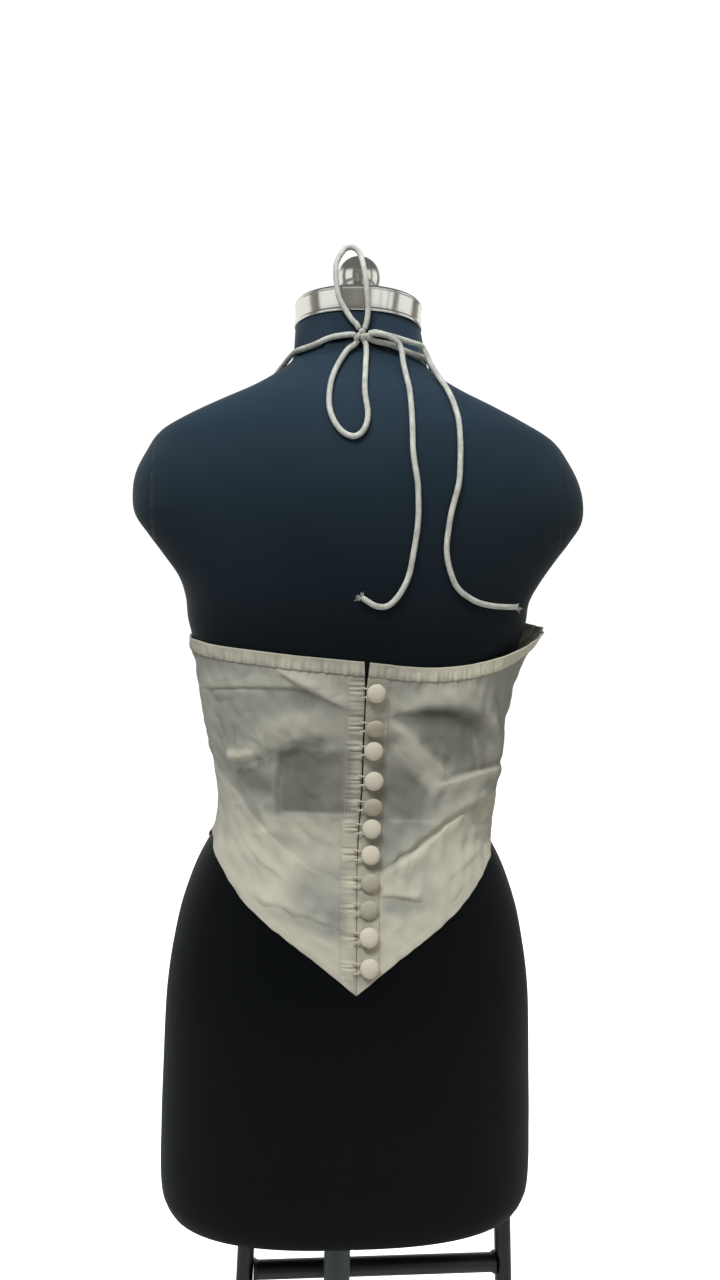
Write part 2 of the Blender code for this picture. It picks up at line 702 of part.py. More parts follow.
def moved_out(columns, side, out):
    """The same grid, each point moved square to the cloth."""
    moved = []
    for i, column in enumerate(columns):
        before = columns[max(i - 1, 0)]
        after = columns[min(i + 1, len(columns) - 1)]
        row = []
        for j, point in enumerate(column):
            upward = column[min(j + 1, len(column) - 1)] - column[max(j - 1, 0)]
            outward = (after[j] - before[j]).cross(upward).normalized() * side
            row.append(point + outward * out)
        moved.append(row)
    return moved


def away(point, out):
    """The point moved straight out from the form's axis."""
    return point + Vector((point.x, point.y, 0)).normalized() * out


def cloth_wall(name, columns, side, thickness, colour):
    """A sheet through the columns of points, given its thickness outwards."""
    shape = bmesh.new()
    grid = [[shape.verts.new(point) for point in column] for column in columns]
    for first, second in zip(grid, grid[1:]):
        for j in range(len(first) - 1):
            corners = [first[j], second[j], second[j + 1], first[j + 1]]
            shape.faces.new(corners if side > 0 else corners[::-1])
    piece = finished(name, mesh_from(name, shape, 60), colour, 0.8)
    wall = piece.modifiers.new("Solidify", "SOLIDIFY")
    wall.thickness = thickness
    wall.offset = 1
    return piece


# The strip along an upper edge: the top row of the moved-out grid's cells, with fine gathers
BAND_PARTS = 3
BAND_RISE = 0.5 * MM


def band_over(columns):
    strip = []
    for i in range((len(columns) - 1) * BAND_PARTS + 1):
        k = min(i // BAND_PARTS, len(columns) - 2)
        share = i / BAND_PARTS - k
        rise = BAND_RISE if i % 2 else 0
        low = columns[k][-2].lerp(columns[k + 1][-2], share)
        high = columns[k][-1].lerp(columns[k + 1][-1], share)
        strip.append([away(low.lerp(high, GAP / BAND_WIDTH), rise), high])
    return strip


# The strip along the opening: the moved-out grid's first column of cells, gathered at each loop
STRIP_PARTS = 2
STRIP_RISE = 0.7 * MM


def strip_over(columns, gathered):
    sides = ([], [], [])
    rows = len(columns[0]) - 2
    for i in range(rows * STRIP_PARTS + 1):
        k = min(i // STRIP_PARTS, rows - 1)
        share = i / STRIP_PARTS - k
        if i == rows * STRIP_PARTS:
            share -= GAP / BAND_WIDTH
        near = columns[0][k].lerp(columns[0][k + 1], share)
        far = columns[1][k].lerp(columns[1][k + 1], share)
        rise = 0.0
        if gathered:
            nearest = min(abs(button.height - near.z) for button in BUTTONS)
            rise = STRIP_RISE * bell(nearest, 7 * MM) * (i % 2)
        sides[0].append(near)
        sides[1].append(away(near.lerp(far, 0.5), rise))
        sides[2].append(far)
    return list(sides)


COTTON = (0.55, 0.53, 0.43)
COTTON_STRIP = (0.60, 0.57, 0.46)
for side_name, side in (("left", -1), ("right", 1)):
    back = back_grid(side)
    front = front_grid(side)
    cloth_wall("back_" + side_name, back, side, CLOTH, COTTON)
    cloth_wall("front_" + side_name, front, side, CLOTH, COTTON)
    over_back = moved_out(back, side, ON_PANEL)
    over_front = moved_out(front, side, ON_PANEL)
    cloth_wall("back_band_" + side_name, band_over(over_back), side, STRIP, COTTON_STRIP)
    cloth_wall("front_band_" + side_name, band_over(over_front), side, STRIP, COTTON_STRIP)
    strip_name = "loop_placket" if side < 0 else "button_stand"
    cloth_wall(strip_name, strip_over(over_back, side < 0), side, STRIP, COTTON_STRIP)


# The covered buttons on their shanks, and the loop that passes round each shank
BUTTON_CREAM = (0.56, 0.53, 0.43)
BUTTON_STEPS = 12
LOOP_TURNS = 4
head_foot = SHANK_HEIGHT
head_top = SHANK_HEIGHT + BUTTON_RIM + BUTTON_DOME
button_radius = BUTTON_DIAMETER / 2


def at_height(edge, height):
    """The place on a column of points at this height, and the direction up the column there."""
    k = 0
    while edge[k + 1].z < height:
        k += 1
    share = (height - edge[k].z) / (edge[k + 1].z - edge[k].z)
    return edge[k].lerp(edge[k + 1], share), edge[k + 1] - edge[k]


def button_frame(button, columns):
    """The button's seat on the strip, its outward normal, and the directions across and up it."""
    near, upward = at_height(columns[0], button.height)
    far, _ = at_height(columns[1], button.height)
    normal = (far - near).cross(upward).normalized()
    place = near.lerp(far, (button.across - near.x) / (far.x - near.x))
    across = Vector((0, 0, 1)).cross(normal).normalized()
    return place + normal * (STRIP + 1.6 * GAP), normal, across, normal.cross(across)


button_profile = [
    (0, head_top),
    (button_radius * 0.52, head_top - BUTTON_DOME * 0.28),
    (button_radius * 0.86, head_top - BUTTON_DOME * 0.72),
    (button_radius, head_foot + BUTTON_RIM * 0.7),
    (button_radius * 0.93, head_foot),
    (SHANK_DIAMETER / 2, head_foot),
    (SHANK_DIAMETER / 2, 0),
    (0, 0),
]

under_buttons = moved_out(back_grid(1), 1, ON_PANEL)
for number, button in enumerate(BUTTONS, start=1):
    seat, normal, across, upward = button_frame(button, under_buttons)
    stud = turned("button_%02d" % number, button_profile, BUTTON_STEPS, BUTTON_CREAM, 0.8, 0.0)
    stud.matrix_world = Matrix((across, upward, normal)).transposed().to_4x4()
    stud.location = seat

    round_shank = SHANK_DIAMETER / 2 + GAP + LOOP_DIAMETER / 2
    reach = button.across - smooth_value(OPENING, button.height, "across") + 4 * MM
    path = [(-reach, round_shank)]
    for i in range(LOOP_TURNS + 1):
        turn = math.radians(90 - 180 * i / LOOP_TURNS)
        path.append((round_shank * math.cos(turn), round_shank * math.sin(turn)))
    path.append((-reach, -round_shank))
    curve = bpy.data.curves.new("loop_%02d" % number, "CURVE")
    curve.dimensions = "3D"
    curve.bevel_depth = LOOP_DIAMETER / 2
    curve.bevel_resolution = 1
    curve.use_fill_caps = True
    line = curve.splines.new("POLY")
    line.points.add(len(path) - 1)
    for point, (sideways, up) in zip(line.points, path):
        point.co = (*(seat + across * sideways + upward * up + normal * SHANK_HEIGHT * 0.52), 1)
    finished(curve.name, curve, COTTON_STRIP, 0.8)


# The halter cord: two stretches round the neck, a bow's two loops and two tails, and their knot
CORD_WHITE = (0.58, 0.58, 0.54)


def route_points(turns, spacing):
    """Points at even distances on a smooth curve through the route's turns."""
    parts = 12
    dense = []
    for i in range(len(turns) - 1):
        before = turns[max(i - 1, 0)]
        start = turns[i]
        end = turns[i + 1]
        after = turns[min(i + 2, len(turns) - 1)]
        for j in range(parts):
            t = j / parts
            place = []
            for a, b, c, d in zip(before, start, end, after):
                bend = (c - a) * t + (2 * a - 5 * b + 4 * c - d) * t**2 + (3 * b - a - 3 * c + d) * t**3
                place.append(b + bend / 2)
            dense.append(place)
    dense.append(list(turns[-1]))
    path = [off_form(angle, height, lift * MM) for angle, height, lift in dense]
    run = [0.0]
    for first, second in zip(path, path[1:]):
        run.append(run[-1] + (second - first).length)
    count = max(round(run[-1] / spacing), 2)
    points = [path[0]]
    k = 0
    for i in range(1, count):
        wanted = run[-1] * i / count
        while run[k + 1] < wanted:
            k += 1
        points.append(path[k].lerp(path[k + 1], (wanted - run[k]) / (run[k + 1] - run[k])))
    return points + [path[-1]]


for name, turns in CORD_ROUTES.items():
    spacing = BEND_SPACING if "loop" in name else LOOSE_SPACING
    points = route_points(turns, spacing)
    curve = bpy.data.curves.new(name, "CURVE")
    curve.dimensions = "3D"
    curve.bevel_depth = CORD_DIAMETER / 2
    curve.bevel_resolution = 2
    curve.use_fill_caps = True
    line = curve.splines.new("POLY")
    line.points.add(len(points) - 1)
    for point, place in zip(line.points, points):
        point.co = (*place, 1)
    finished(name, curve, CORD_WHITE, 0.8)

knot_place = around(KNOT_ANGLE, form_radius(KNOT_ANGLE, KNOT_HEIGHT) + KNOT_LIFT, KNOT_HEIGHT)
knot = bmesh.new()
bmesh.ops.create_uvsphere(
    knot,
    u_segments=14,
    v_segments=8,
    radius=0.5,
    matrix=Matrix.Translation(knot_place) @ Matrix.Diagonal((*KNOT_SIZE, 1)),
)
finished("halter_knot", mesh_from("halter_knot", knot), CORD_WHITE, 0.8)
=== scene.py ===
# A backless corset top with a corded halter tie, worn by a black limbless dress form on its stand.
# Metres, +Z up. The wearer's back faces -Y, and the wearer's right side is +X. Angles run round the
# form's upright axis in degrees: 0 is the centre back, 90 the right side seam, 180 the centre front.
import math
from collections import namedtuple

import bmesh
import bpy
import numpy as np
from mathutils import Matrix, Vector


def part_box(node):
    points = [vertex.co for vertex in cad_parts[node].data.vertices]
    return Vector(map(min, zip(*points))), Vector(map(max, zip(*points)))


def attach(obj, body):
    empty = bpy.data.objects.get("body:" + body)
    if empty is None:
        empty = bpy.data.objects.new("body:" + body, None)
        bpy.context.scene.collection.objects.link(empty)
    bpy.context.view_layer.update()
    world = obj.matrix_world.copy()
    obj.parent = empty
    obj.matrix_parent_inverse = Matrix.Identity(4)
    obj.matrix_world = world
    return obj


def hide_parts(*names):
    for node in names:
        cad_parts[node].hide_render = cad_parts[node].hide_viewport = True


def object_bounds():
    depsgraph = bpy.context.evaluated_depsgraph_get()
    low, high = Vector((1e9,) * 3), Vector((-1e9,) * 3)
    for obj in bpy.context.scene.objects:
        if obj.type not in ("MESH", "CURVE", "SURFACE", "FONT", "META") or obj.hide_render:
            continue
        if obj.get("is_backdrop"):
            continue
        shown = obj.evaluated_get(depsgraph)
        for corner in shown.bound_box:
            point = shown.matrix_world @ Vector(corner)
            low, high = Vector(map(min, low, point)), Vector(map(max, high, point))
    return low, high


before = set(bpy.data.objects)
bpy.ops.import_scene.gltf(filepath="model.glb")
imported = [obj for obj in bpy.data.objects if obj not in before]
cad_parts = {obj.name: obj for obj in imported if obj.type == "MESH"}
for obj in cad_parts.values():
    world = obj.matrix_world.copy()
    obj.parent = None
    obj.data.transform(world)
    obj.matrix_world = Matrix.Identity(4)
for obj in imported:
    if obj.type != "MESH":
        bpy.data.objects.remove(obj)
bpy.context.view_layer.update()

# The studio. The camera stands behind the wearer's back, a little to the left and turned a little
# about its own axis, as the photograph's did. The floor and the backdrop are plain and pale, and
# the light comes from a high window-like panel, a soft one behind the camera, and a ceiling panel.
CAMERA_TURN = math.radians(4.5)
CAMERA_ROLL = math.radians(0.9)
CAMERA_AWAY = 0.92
CAMERA_ASIDE = 0.00626
CAMERA_HEIGHT = 1.13
FOCUS_PIXELS = 1000
PHOTO_HEIGHT = 1280
SENSOR_HEIGHT = 36

ahead = Vector((math.sin(CAMERA_TURN), math.cos(CAMERA_TURN), 0))
aside = Vector((math.cos(CAMERA_TURN), -math.sin(CAMERA_TURN), 0))
upright = Vector((0, 0, 1))
rolled_aside = aside * math.cos(CAMERA_ROLL) + upright * math.sin(CAMERA_ROLL)
rolled_up = upright * math.cos(CAMERA_ROLL) - aside * math.sin(CAMERA_ROLL)
camera_data = bpy.data.cameras.new("photo_camera")
camera_data.sensor_fit = "VERTICAL"
camera_data.sensor_height = SENSOR_HEIGHT
camera_data.lens = SENSOR_HEIGHT * FOCUS_PIXELS / PHOTO_HEIGHT
camera = bpy.data.objects.new("photo_camera", camera_data)
camera.matrix_world = Matrix((rolled_aside, rolled_up, -ahead)).transposed().to_4x4()
camera.location = aside * CAMERA_ASIDE - ahead * CAMERA_AWAY + upright * CAMERA_HEIGHT
bpy.context.scene.collection.objects.link(camera)
bpy.context.scene.camera = camera
bpy.context.scene.view_settings.view_transform = "Standard"

WINDOW_COLOUR = (0.90, 0.95, 1.0)
ROOM_COLOUR = (1.0, 0.97, 0.92)


def soft_panel(name, place, towards, wide, high, power, colour):
    """A soft rectangular studio light that faces a point."""
    light = bpy.data.lights.new(name, "AREA")
    light.shape = "RECTANGLE"
    light.size = wide
    light.size_y = high
    light.energy = power
    light.color = colour
    panel = bpy.data.objects.new(name, light)
    panel.location = place
    facing = Vector(towards) - Vector(place)
    panel.rotation_euler = facing.to_track_quat("-Z", "Y").to_euler()
    panel.visible_glossy = False
    bpy.context.scene.collection.objects.link(panel)


soft_panel("window_panel", (-0.7, -1.5, 3.1), (0, 0, 1.05), 1.0, 0.8, 62, WINDOW_COLOUR)
soft_panel("room_panel", (1.6, -2.6, 1.3), (0, 0, 1.0), 1.2, 1.6, 7, ROOM_COLOUR)
soft_panel("ceiling_panel", (0.2, -0.3, 3.2), (0, 0, 1.2), 1.6, 1.2, 20, WINDOW_COLOUR)
soft_panel("far_panel", (0.6, 2.8, 2.4), (0, 0, 1.1), 1.8, 1.8, 26, ROOM_COLOUR)

world = bpy.data.worlds.new("pale_room")
bpy.context.scene.world = world
world.use_nodes = True
room = world.node_tree
room.nodes.clear()
ambient = room.nodes.new("ShaderNodeBackground")
ambient.inputs["Color"].default_value = (0.92, 0.96, 1.0, 1)
ambient.inputs["Strength"].default_value = 0.22
backdrop = room.nodes.new("ShaderNodeBackground")
backdrop.inputs["Color"].default_value = (1, 1, 1, 1)
backdrop.inputs["Strength"].default_value = 1.05
seen = room.nodes.new("ShaderNodeLightPath")
choice = room.nodes.new("ShaderNodeMixShader")
room_out = room.nodes.new("ShaderNodeOutputWorld")
room.links.new(seen.outputs["Is Camera Ray"], choice.inputs["Fac"])
room.links.new(backdrop.outputs["Background"], choice.inputs[2])
room.links.new(choice.outputs["Shader"], room_out.inputs["Surface"])

# What the polished metal mirrors: a bright room with brown-grey walls between its windows, each
# wall a stretch of the turn round the room from behind the form, and a dim ceiling.
DIM_WALL = (0.185, 0.170, 0.145)
GREY_WALL = (0.29, 0.29, 0.265)
BRIGHT_WALL = (0.99, 1.0, 0.965)
ROOM_WALLS = [
    (0.000, BRIGHT_WALL),
    (0.214, BRIGHT_WALL),
    (0.226, GREY_WALL),
    (0.276, DIM_WALL),
    (0.286, BRIGHT_WALL),
    (0.388, BRIGHT_WALL),
    (0.398, DIM_WALL),
    (0.480, GREY_WALL),
    (0.545, DIM_WALL),
    (0.557, BRIGHT_WALL),
    (0.596, BRIGHT_WALL),
    (0.600, GREY_WALL),
    (0.606, BRIGHT_WALL),
    (0.636, BRIGHT_WALL),
    (0.640, DIM_WALL),
    (0.646, BRIGHT_WALL),
    (0.664, BRIGHT_WALL),
    (0.672, DIM_WALL),
    (0.696, GREY_WALL),
    (0.705, BRIGHT_WALL),
    (0.800, BRIGHT_WALL),
    (0.809, DIM_WALL),
    (0.868, GREY_WALL),
    (0.878, BRIGHT_WALL),
    (1.000, BRIGHT_WALL),
]
looking = room.nodes.new("ShaderNodeTexCoord")
looking_parts = room.nodes.new("ShaderNodeSeparateXYZ")
room.links.new(looking.outputs["Generated"], looking_parts.inputs["Vector"])
backwards = room.nodes.new("ShaderNodeMath")
backwards.operation = "MULTIPLY"
backwards.inputs[1].default_value = -1.0
room.links.new(looking_parts.outputs["Y"], backwards.inputs[0])
round_room = room.nodes.new("ShaderNodeMath")
round_room.operation = "ARCTAN2"
room.links.new(looking_parts.outputs["X"], round_room.inputs[0])
room.links.new(backwards.outputs["Value"], round_room.inputs[1])
share_of_turn = room.nodes.new("ShaderNodeMapRange")
share_of_turn.inputs["From Min"].default_value = -math.pi
share_of_turn.inputs["From Max"].default_value = math.pi
room.links.new(round_room.outputs["Value"], share_of_turn.inputs["Value"])
walls = room.nodes.new("ShaderNodeValToRGB")
while len(walls.color_ramp.elements) < len(ROOM_WALLS):
    walls.color_ramp.elements.new(0.5)
for element, (place, colour) in zip(walls.color_ramp.elements, ROOM_WALLS):
    element.position = place
    element.color = (*colour, 1)
room.links.new(share_of_turn.outputs["Result"], walls.inputs["Fac"])
how_high = room.nodes.new("ShaderNodeMapRange")
how_high.inputs["From Min"].default_value = 0.42
how_high.inputs["From Max"].default_value = 0.62
room.links.new(looking_parts.outputs["Z"], how_high.inputs["Value"])
ceiling = room.nodes.new("ShaderNodeMixRGB")
ceiling.inputs["Color2"].default_value = (0.17, 0.165, 0.16, 1)
room.links.new(how_high.outputs["Result"], ceiling.inputs["Fac"])
room.links.new(walls.outputs["Color"], ceiling.inputs["Color1"])
mirrored = room.nodes.new("ShaderNodeBackground")
mirrored.inputs["Strength"].default_value = 0.95
room.links.new(ceiling.outputs["Color"], mirrored.inputs["Color"])
unseen = room.nodes.new("ShaderNodeMixShader")
room.links.new(seen.outputs["Is Glossy Ray"], unseen.inputs["Fac"])
room.links.new(ambient.outputs["Background"], unseen.inputs[1])
room.links.new(mirrored.outputs["Background"], unseen.inputs[2])
room.links.new(unseen.outputs["Shader"], choice.inputs[1])

floor_mesh = bpy.data.meshes.new("floor")
floor_shape = bmesh.new()
bmesh.ops.create_circle(floor_shape, cap_ends=True, segments=96, radius=9)
floor_shape.to_mesh(floor_mesh)
floor_shape.free()
floor = bpy.data.objects.new("floor", floor_mesh)
bpy.context.scene.collection.objects.link(floor)
floor_paint = bpy.data.materials.new("pale_floor")
floor_paint.use_nodes = True
floor_tree = floor_paint.node_tree
floor_shader = floor_tree.nodes["Principled BSDF"]
floor_shader.inputs["Base Color"].default_value = (0.86, 0.86, 0.85, 1)
floor_shader.inputs["Roughness"].default_value = 0.9
floor_glow = floor_tree.nodes.new("ShaderNodeEmission")
floor_glow.inputs["Strength"].default_value = 1.1
floor_seen = floor_tree.nodes.new("ShaderNodeLightPath")
floor_dark = floor_tree.nodes.new("ShaderNodeEmission")
floor_dark.inputs["Strength"].default_value = 0.0
floor_choice = floor_tree.nodes.new("ShaderNodeMixShader")
floor_sum = floor_tree.nodes.new("ShaderNodeAddShader")
floor_tree.links.new(floor_seen.outputs["Is Camera Ray"], floor_choice.inputs["Fac"])
floor_tree.links.new(floor_dark.outputs["Emission"], floor_choice.inputs[1])
floor_tree.links.new(floor_glow.outputs["Emission"], floor_choice.inputs[2])
floor_tree.links.new(floor_shader.outputs["BSDF"], floor_sum.inputs[0])
floor_tree.links.new(floor_choice.outputs["Shader"], floor_sum.inputs[1])
floor_tree.links.new(floor_sum.outputs["Shader"], floor_tree.nodes["Material Output"].inputs["Surface"])
floor_mesh.materials.append(floor_paint)
floor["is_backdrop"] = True

# The dress form: a smooth padded torso with cut-off shoulders, covered in fine black knitted cloth.
# Its shape is worked out from sections: half width, back and front depth in millimetres, how square
# each is, and how far its middle stands to the wearer's right, with a soft bust added.
Section = namedtuple("Section", "height half_width back front squareness shift")
FORM_SECTIONS = [
    Section(0.626, 157.0, 101.0, 104.0, 2.6, 0.0),
    Section(0.645, 165.0, 105.0, 107.0, 2.6, 0.0),
    Section(0.700, 166.3, 109.0, 108.0, 2.5, 0.0),
    Section(0.745, 165.6, 113.0, 108.0, 2.4, 0.0),
    Section(0.808, 163.8, 116.0, 106.0, 2.4, 0.0),
    Section(0.836, 161.5, 115.0, 104.0, 2.4, 0.0),
    Section(0.863, 157.5, 111.0, 101.0, 2.4, 0.0),
    Section(0.891, 151.8, 105.0, 97.0, 2.4, 0.0),
    Section(0.918, 143.2, 97.0, 93.0, 2.4, 0.0),
    Section(0.934, 136.5, 91.5, 91.0, 2.4, 0.0),
    Section(0.948, 129.0, 88.0, 89.5, 2.4, 0.0),
    Section(0.958, 122.5, 86.0, 89.0, 2.4, 0.0),
    Section(0.972, 119.0, 84.5, 88.6, 2.4, 0.0),
    Section(0.990, 118.0, 84.0, 89.0, 2.4, 0.0),
    Section(1.015, 121.0, 85.0, 91.0, 2.4, 0.0),
    Section(1.043, 128.0, 88.0, 94.0, 2.4, 0.0),
    Section(1.084, 136.5, 94.0, 98.0, 2.4, 0.0),
    Section(1.112, 143.0, 98.0, 99.5, 2.4, 1.5),
    Section(1.130, 148.5, 100.0, 100.0, 2.4, 3.0),
    Section(1.148, 153.7, 102.0, 99.0, 2.35, 3.6),
    Section(1.167, 156.5, 104.0, 97.0, 2.3, 4.0),
    Section(1.185, 165.0, 105.0, 94.0, 2.2, 6.0),
    Section(1.204, 178.7, 106.0, 91.0, 2.1, 6.0),
    Section(1.222, 192.5, 106.5, 88.0, 2.05, 6.0),
    Section(1.240, 204.5, 106.5, 85.0, 2.0, 5.5),
    Section(1.259, 206.5, 106.0, 82.0, 2.0, 5.0),
    Section(1.277, 203.0, 103.5, 78.0, 2.0, 4.0),
    Section(1.295, 194.0, 99.5, 74.0, 2.0, 3.5),
    Section(1.314, 180.5, 93.5, 70.0, 2.0, 2.5),
    Section(1.328, 157.5, 88.0, 67.0, 2.0, 1.5),
    Section(1.341, 131.0, 82.0, 64.0, 2.0, 1.0),
    Section(1.355, 100.5, 73.5, 60.5, 2.0, 0.5),
    Section(1.366, 81.0, 67.0, 58.0, 2.0, 0.0),
    Section(1.373, 70.5, 63.5, 57.2, 2.0, 0.0),
    Section(1.383, 60.5, 59.3, 56.6, 2.0, 0.0),
    Section(1.397, 58.3, 57.5, 56.2, 2.0, 0.0),
    Section(1.416, 57.5, 57.0, 56.0, 2.0, 0.0),
]
MM = 0.001
BUST_ANGLE = 144.0
BUST_HEIGHT = 1.125
BUST_RISE = 15 * MM
BUST_SPREAD = 24.0
BUST_TALL = 54 * MM
FORM_FOOT = 0.626
FOOT_ROUND = 7 * MM
NECK_SEAM = 1.378
NECK_TOP = 1.414
ARMHOLE_ACROSS = 181 * MM
SEAM_GAP = 0.25 * MM
FORM_SEAMS = (-180, -90, 0, 90)
FORM_COLUMNS = 150
SEAM_DEPTH = 0.22 * MM
SEAM_WIDTH = 1.3 * MM


def smooth_value(rows, column, place):
    """A named column at places along the first one, on a smooth curve through the rows."""
    at = np.array([row[0] for row in rows], float)
    value = np.array([getattr(row, column) for row in rows], float)
    slope = np.empty(len(at))
    slope[1:-1] = (value[2:] - value[:-2]) / (at[2:] - at[:-2])
    slope[0] = (value[1] - value[0]) / (at[1] - at[0])
    slope[-1] = (value[-1] - value[-2]) / (at[-1] - at[-2])
    place = np.clip(place, at[0], at[-1])
    i = np.clip(np.searchsorted(at, place, side="right") - 1, 0, len(at) - 2)
    step = at[i + 1] - at[i]
    t = (place - at[i]) / step
    start = (2 * t**3 - 3 * t**2 + 1) * value[i] + (t**3 - 2 * t**2 + t) * step * slope[i]
    end = (3 * t**2 - 2 * t**3) * value[i + 1] + (t**3 - t**2) * step * slope[i + 1]
    return start + end


def bell(distance, spread):
    return np.exp(-((distance / spread) ** 2))


def ramp(value, start, full):
    """0 at start, 1 at full, easing in and out."""
    t = np.clip((value - start) / (full - start), 0, 1)
    return t * t * (3 - 2 * t)


def bust(angle, height):
    return bell(np.abs(angle) - BUST_ANGLE, BUST_SPREAD) * bell(height - BUST_HEIGHT, BUST_TALL)


def form_radius(angle, height):
    turn = np.radians(angle)
    across = smooth_value(FORM_SECTIONS, "half_width", height) * MM
    back = smooth_value(FORM_SECTIONS, "back", height) * MM
    front = smooth_value(FORM_SECTIONS, "front", height) * MM
    deep = np.where(np.cos(turn) > 0, back, front)
    power = smooth_value(FORM_SECTIONS, "squareness", height)
    sides = np.abs(np.sin(turn) / across) ** power
    ends = np.abs(np.cos(turn) / deep) ** power
    return (sides + ends) ** (-1 / power) + BUST_RISE * bust(angle, height)


def around(angle, radius, height):
    turn = np.radians(angle)
    shift = smooth_value(FORM_SECTIONS, "shift", height) * MM
    places = (shift + radius * np.sin(turn), -radius * np.cos(turn), height + 0 * turn)
    return np.stack(np.broadcast_arrays(*places), axis=-1)


def off_form(angle, height, lift):
    """Points at this distance from the form, square to its surface."""
    place = around(angle, form_radius(angle, height), height)
    step, rise = 1.5, 3 * MM
    beside = around(angle + step, form_radius(angle + step, height), height)
    above = around(angle, form_radius(angle, height + rise), height + rise)
    below = around(angle, form_radius(angle, height - rise), height - rise)
    outward = np.cross(beside - place, above - below)
    outward /= np.linalg.norm(outward, axis=-1, keepdims=True)
    return place + outward * np.asarray(lift)[..., None]


def laid_grid(name, columns, rows, place, size=(1, 1), tones=None):
    """A grid of columns by rows whose corners run from 0 to 1 each way, laid where place puts it.
    Its UV map holds distances in metres, and tones, where given, fills its attribute named tone."""
    shape = bmesh.new()
    bmesh.ops.create_grid(shape, x_segments=columns, y_segments=rows, size=0.5)
    mesh = bpy.data.meshes.new(name)
    shape.to_mesh(mesh)
    shape.free()
    flat = np.empty(len(mesh.vertices) * 3)
    mesh.vertices.foreach_get("co", flat)
    share = flat.reshape(-1, 3)[:, :2] + 0.5
    corners = np.empty(len(mesh.loops), int)
    mesh.loops.foreach_get("vertex_index", corners)
    threads = mesh.uv_layers.new(name="cloth")
    threads.data.foreach_set("uv", (share[corners] * size).ravel())
    mesh.vertices.foreach_set("co", place(share[:, 0], share[:, 1]).ravel())
    if tones is not None:
        tone = mesh.attributes.new("tone", "FLOAT", "POINT")
        tone.data.foreach_set("value", tones(share[:, 0], share[:, 1]).astype(np.float32))
    mesh.update()
    return mesh


def shown(name, mesh, material, replaced=()):
    """The finished piece, riding on the one body, in its material, for the nodes it stands for."""
    mesh.shade_smooth()
    mesh.set_sharp_from_angle(angle=math.radians(55))
    mesh.materials.clear()
    mesh.materials.append(material)
    piece = bpy.data.objects.new(name, mesh)
    bpy.context.scene.collection.objects.link(piece)
    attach(piece, "root")
    if replaced:
        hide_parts(*replaced)
    return piece


def closed(mesh, cut_across=None, keep=0):
    """Welds the grid's meeting edges, cuts it at a plane across X if asked, and fills its open ends."""
    shape = bmesh.new()
    shape.from_mesh(mesh)
    bmesh.ops.remove_doubles(shape, verts=shape.verts, dist=0.00001)
    if cut_across is not None:
        everything = list(shape.verts) + list(shape.edges) + list(shape.faces)
        plane = {"plane_co": (cut_across, 0, 0), "plane_no": (keep, 0, 0)}
        bmesh.ops.bisect_plane(shape, geom=everything, clear_inner=True, **plane)
    open_edges = [edge for edge in shape.edges if edge.is_boundary]
    bmesh.ops.holes_fill(shape, edges=open_edges, sides=0)
    bmesh.ops.recalc_face_normals(shape, faces=shape.faces)
    shape.to_mesh(mesh)
    shape.free()
    mesh.update()
    return mesh


form_angles = np.linspace(-180, 180, FORM_COLUMNS + 1)
for seam in FORM_SEAMS:
    form_angles = np.append(form_angles, seam + np.array([-1.8, -1.1, -0.7, -0.35, 0.35, 0.7, 1.1, 1.8]))
form_angles = np.unique(np.clip(form_angles, -180, 180))


def form_place(foot, top, round_foot):
    def place(u, v):
        angle = np.interp(u, np.linspace(0, 1, len(form_angles)), form_angles)
        height = foot + (top - foot) * v
        radius = form_radius(angle, height)
        lift = np.zeros(len(u))
        for seam in FORM_SEAMS:
            lift -= SEAM_DEPTH * bell(np.radians(angle - seam) * radius, SEAM_WIDTH)
        under = np.clip(round_foot - (height - foot), 0, round_foot)
        lift -= round_foot - np.sqrt(np.maximum(round_foot**2 - under**2, 0)) if round_foot else 0
        return around(angle, radius + lift, height)

    return place


def new_material(name, colour, roughness):
    material = bpy.data.materials.new(name)
    material.use_nodes = True
    tree = material.node_tree
    shader = tree.nodes["Principled BSDF"]
    shader.inputs["Base Color"].default_value = (*colour, 1)
    shader.inputs["Roughness"].default_value = roughness
    return material, tree, shader


def noise(tree, coordinates, scale, detail=3.0, stretch=(1, 1, 1)):
    """A noise pattern's value, on coordinates stretched along each axis."""
    mapping = tree.nodes.new("ShaderNodeMapping")
    mapping.inputs["Scale"].default_value = stretch
    tree.links.new(coordinates, mapping.inputs["Vector"])
    pattern = tree.nodes.new("ShaderNodeTexNoise")
    pattern.inputs["Scale"].default_value = scale
    pattern.inputs["Detail"].default_value = detail
    tree.links.new(mapping.outputs["Vector"], pattern.inputs["Vector"])
    return pattern.outputs["Fac"]


def stripes(tree, coordinates, direction, pitch):
    """Soft threads at an even pitch in metres along one axis."""
    wave = tree.nodes.new("ShaderNodeTexWave")
    wave.bands_direction = direction
    wave.inputs["Scale"].default_value = math.pi / (10 * pitch)
    wave.inputs["Distortion"].default_value = 0.6
    tree.links.new(coordinates, wave.inputs["Vector"])
    return wave.outputs["Fac"]


def sum_of(tree, first, second, weight=1.0):
    """first + second * weight"""
    add = tree.nodes.new("ShaderNodeMath")
    add.operation = "MULTIPLY_ADD"
    tree.links.new(second, add.inputs[0])
    add.inputs[1].default_value = weight
    tree.links.new(first, add.inputs[2])
    return add.outputs[0]


def ramp_between(tree, value, stops):
    """A colour ramp through (place, colour) stops."""
    band = tree.nodes.new("ShaderNodeValToRGB")
    while len(band.color_ramp.elements) < len(stops):
        band.color_ramp.elements.new(0.5)
    for element, (place, colour) in zip(band.color_ramp.elements, stops):
        element.position = place
        element.color = (*colour, 1)
    tree.links.new(value, band.inputs["Fac"])
    return band.outputs["Color"]


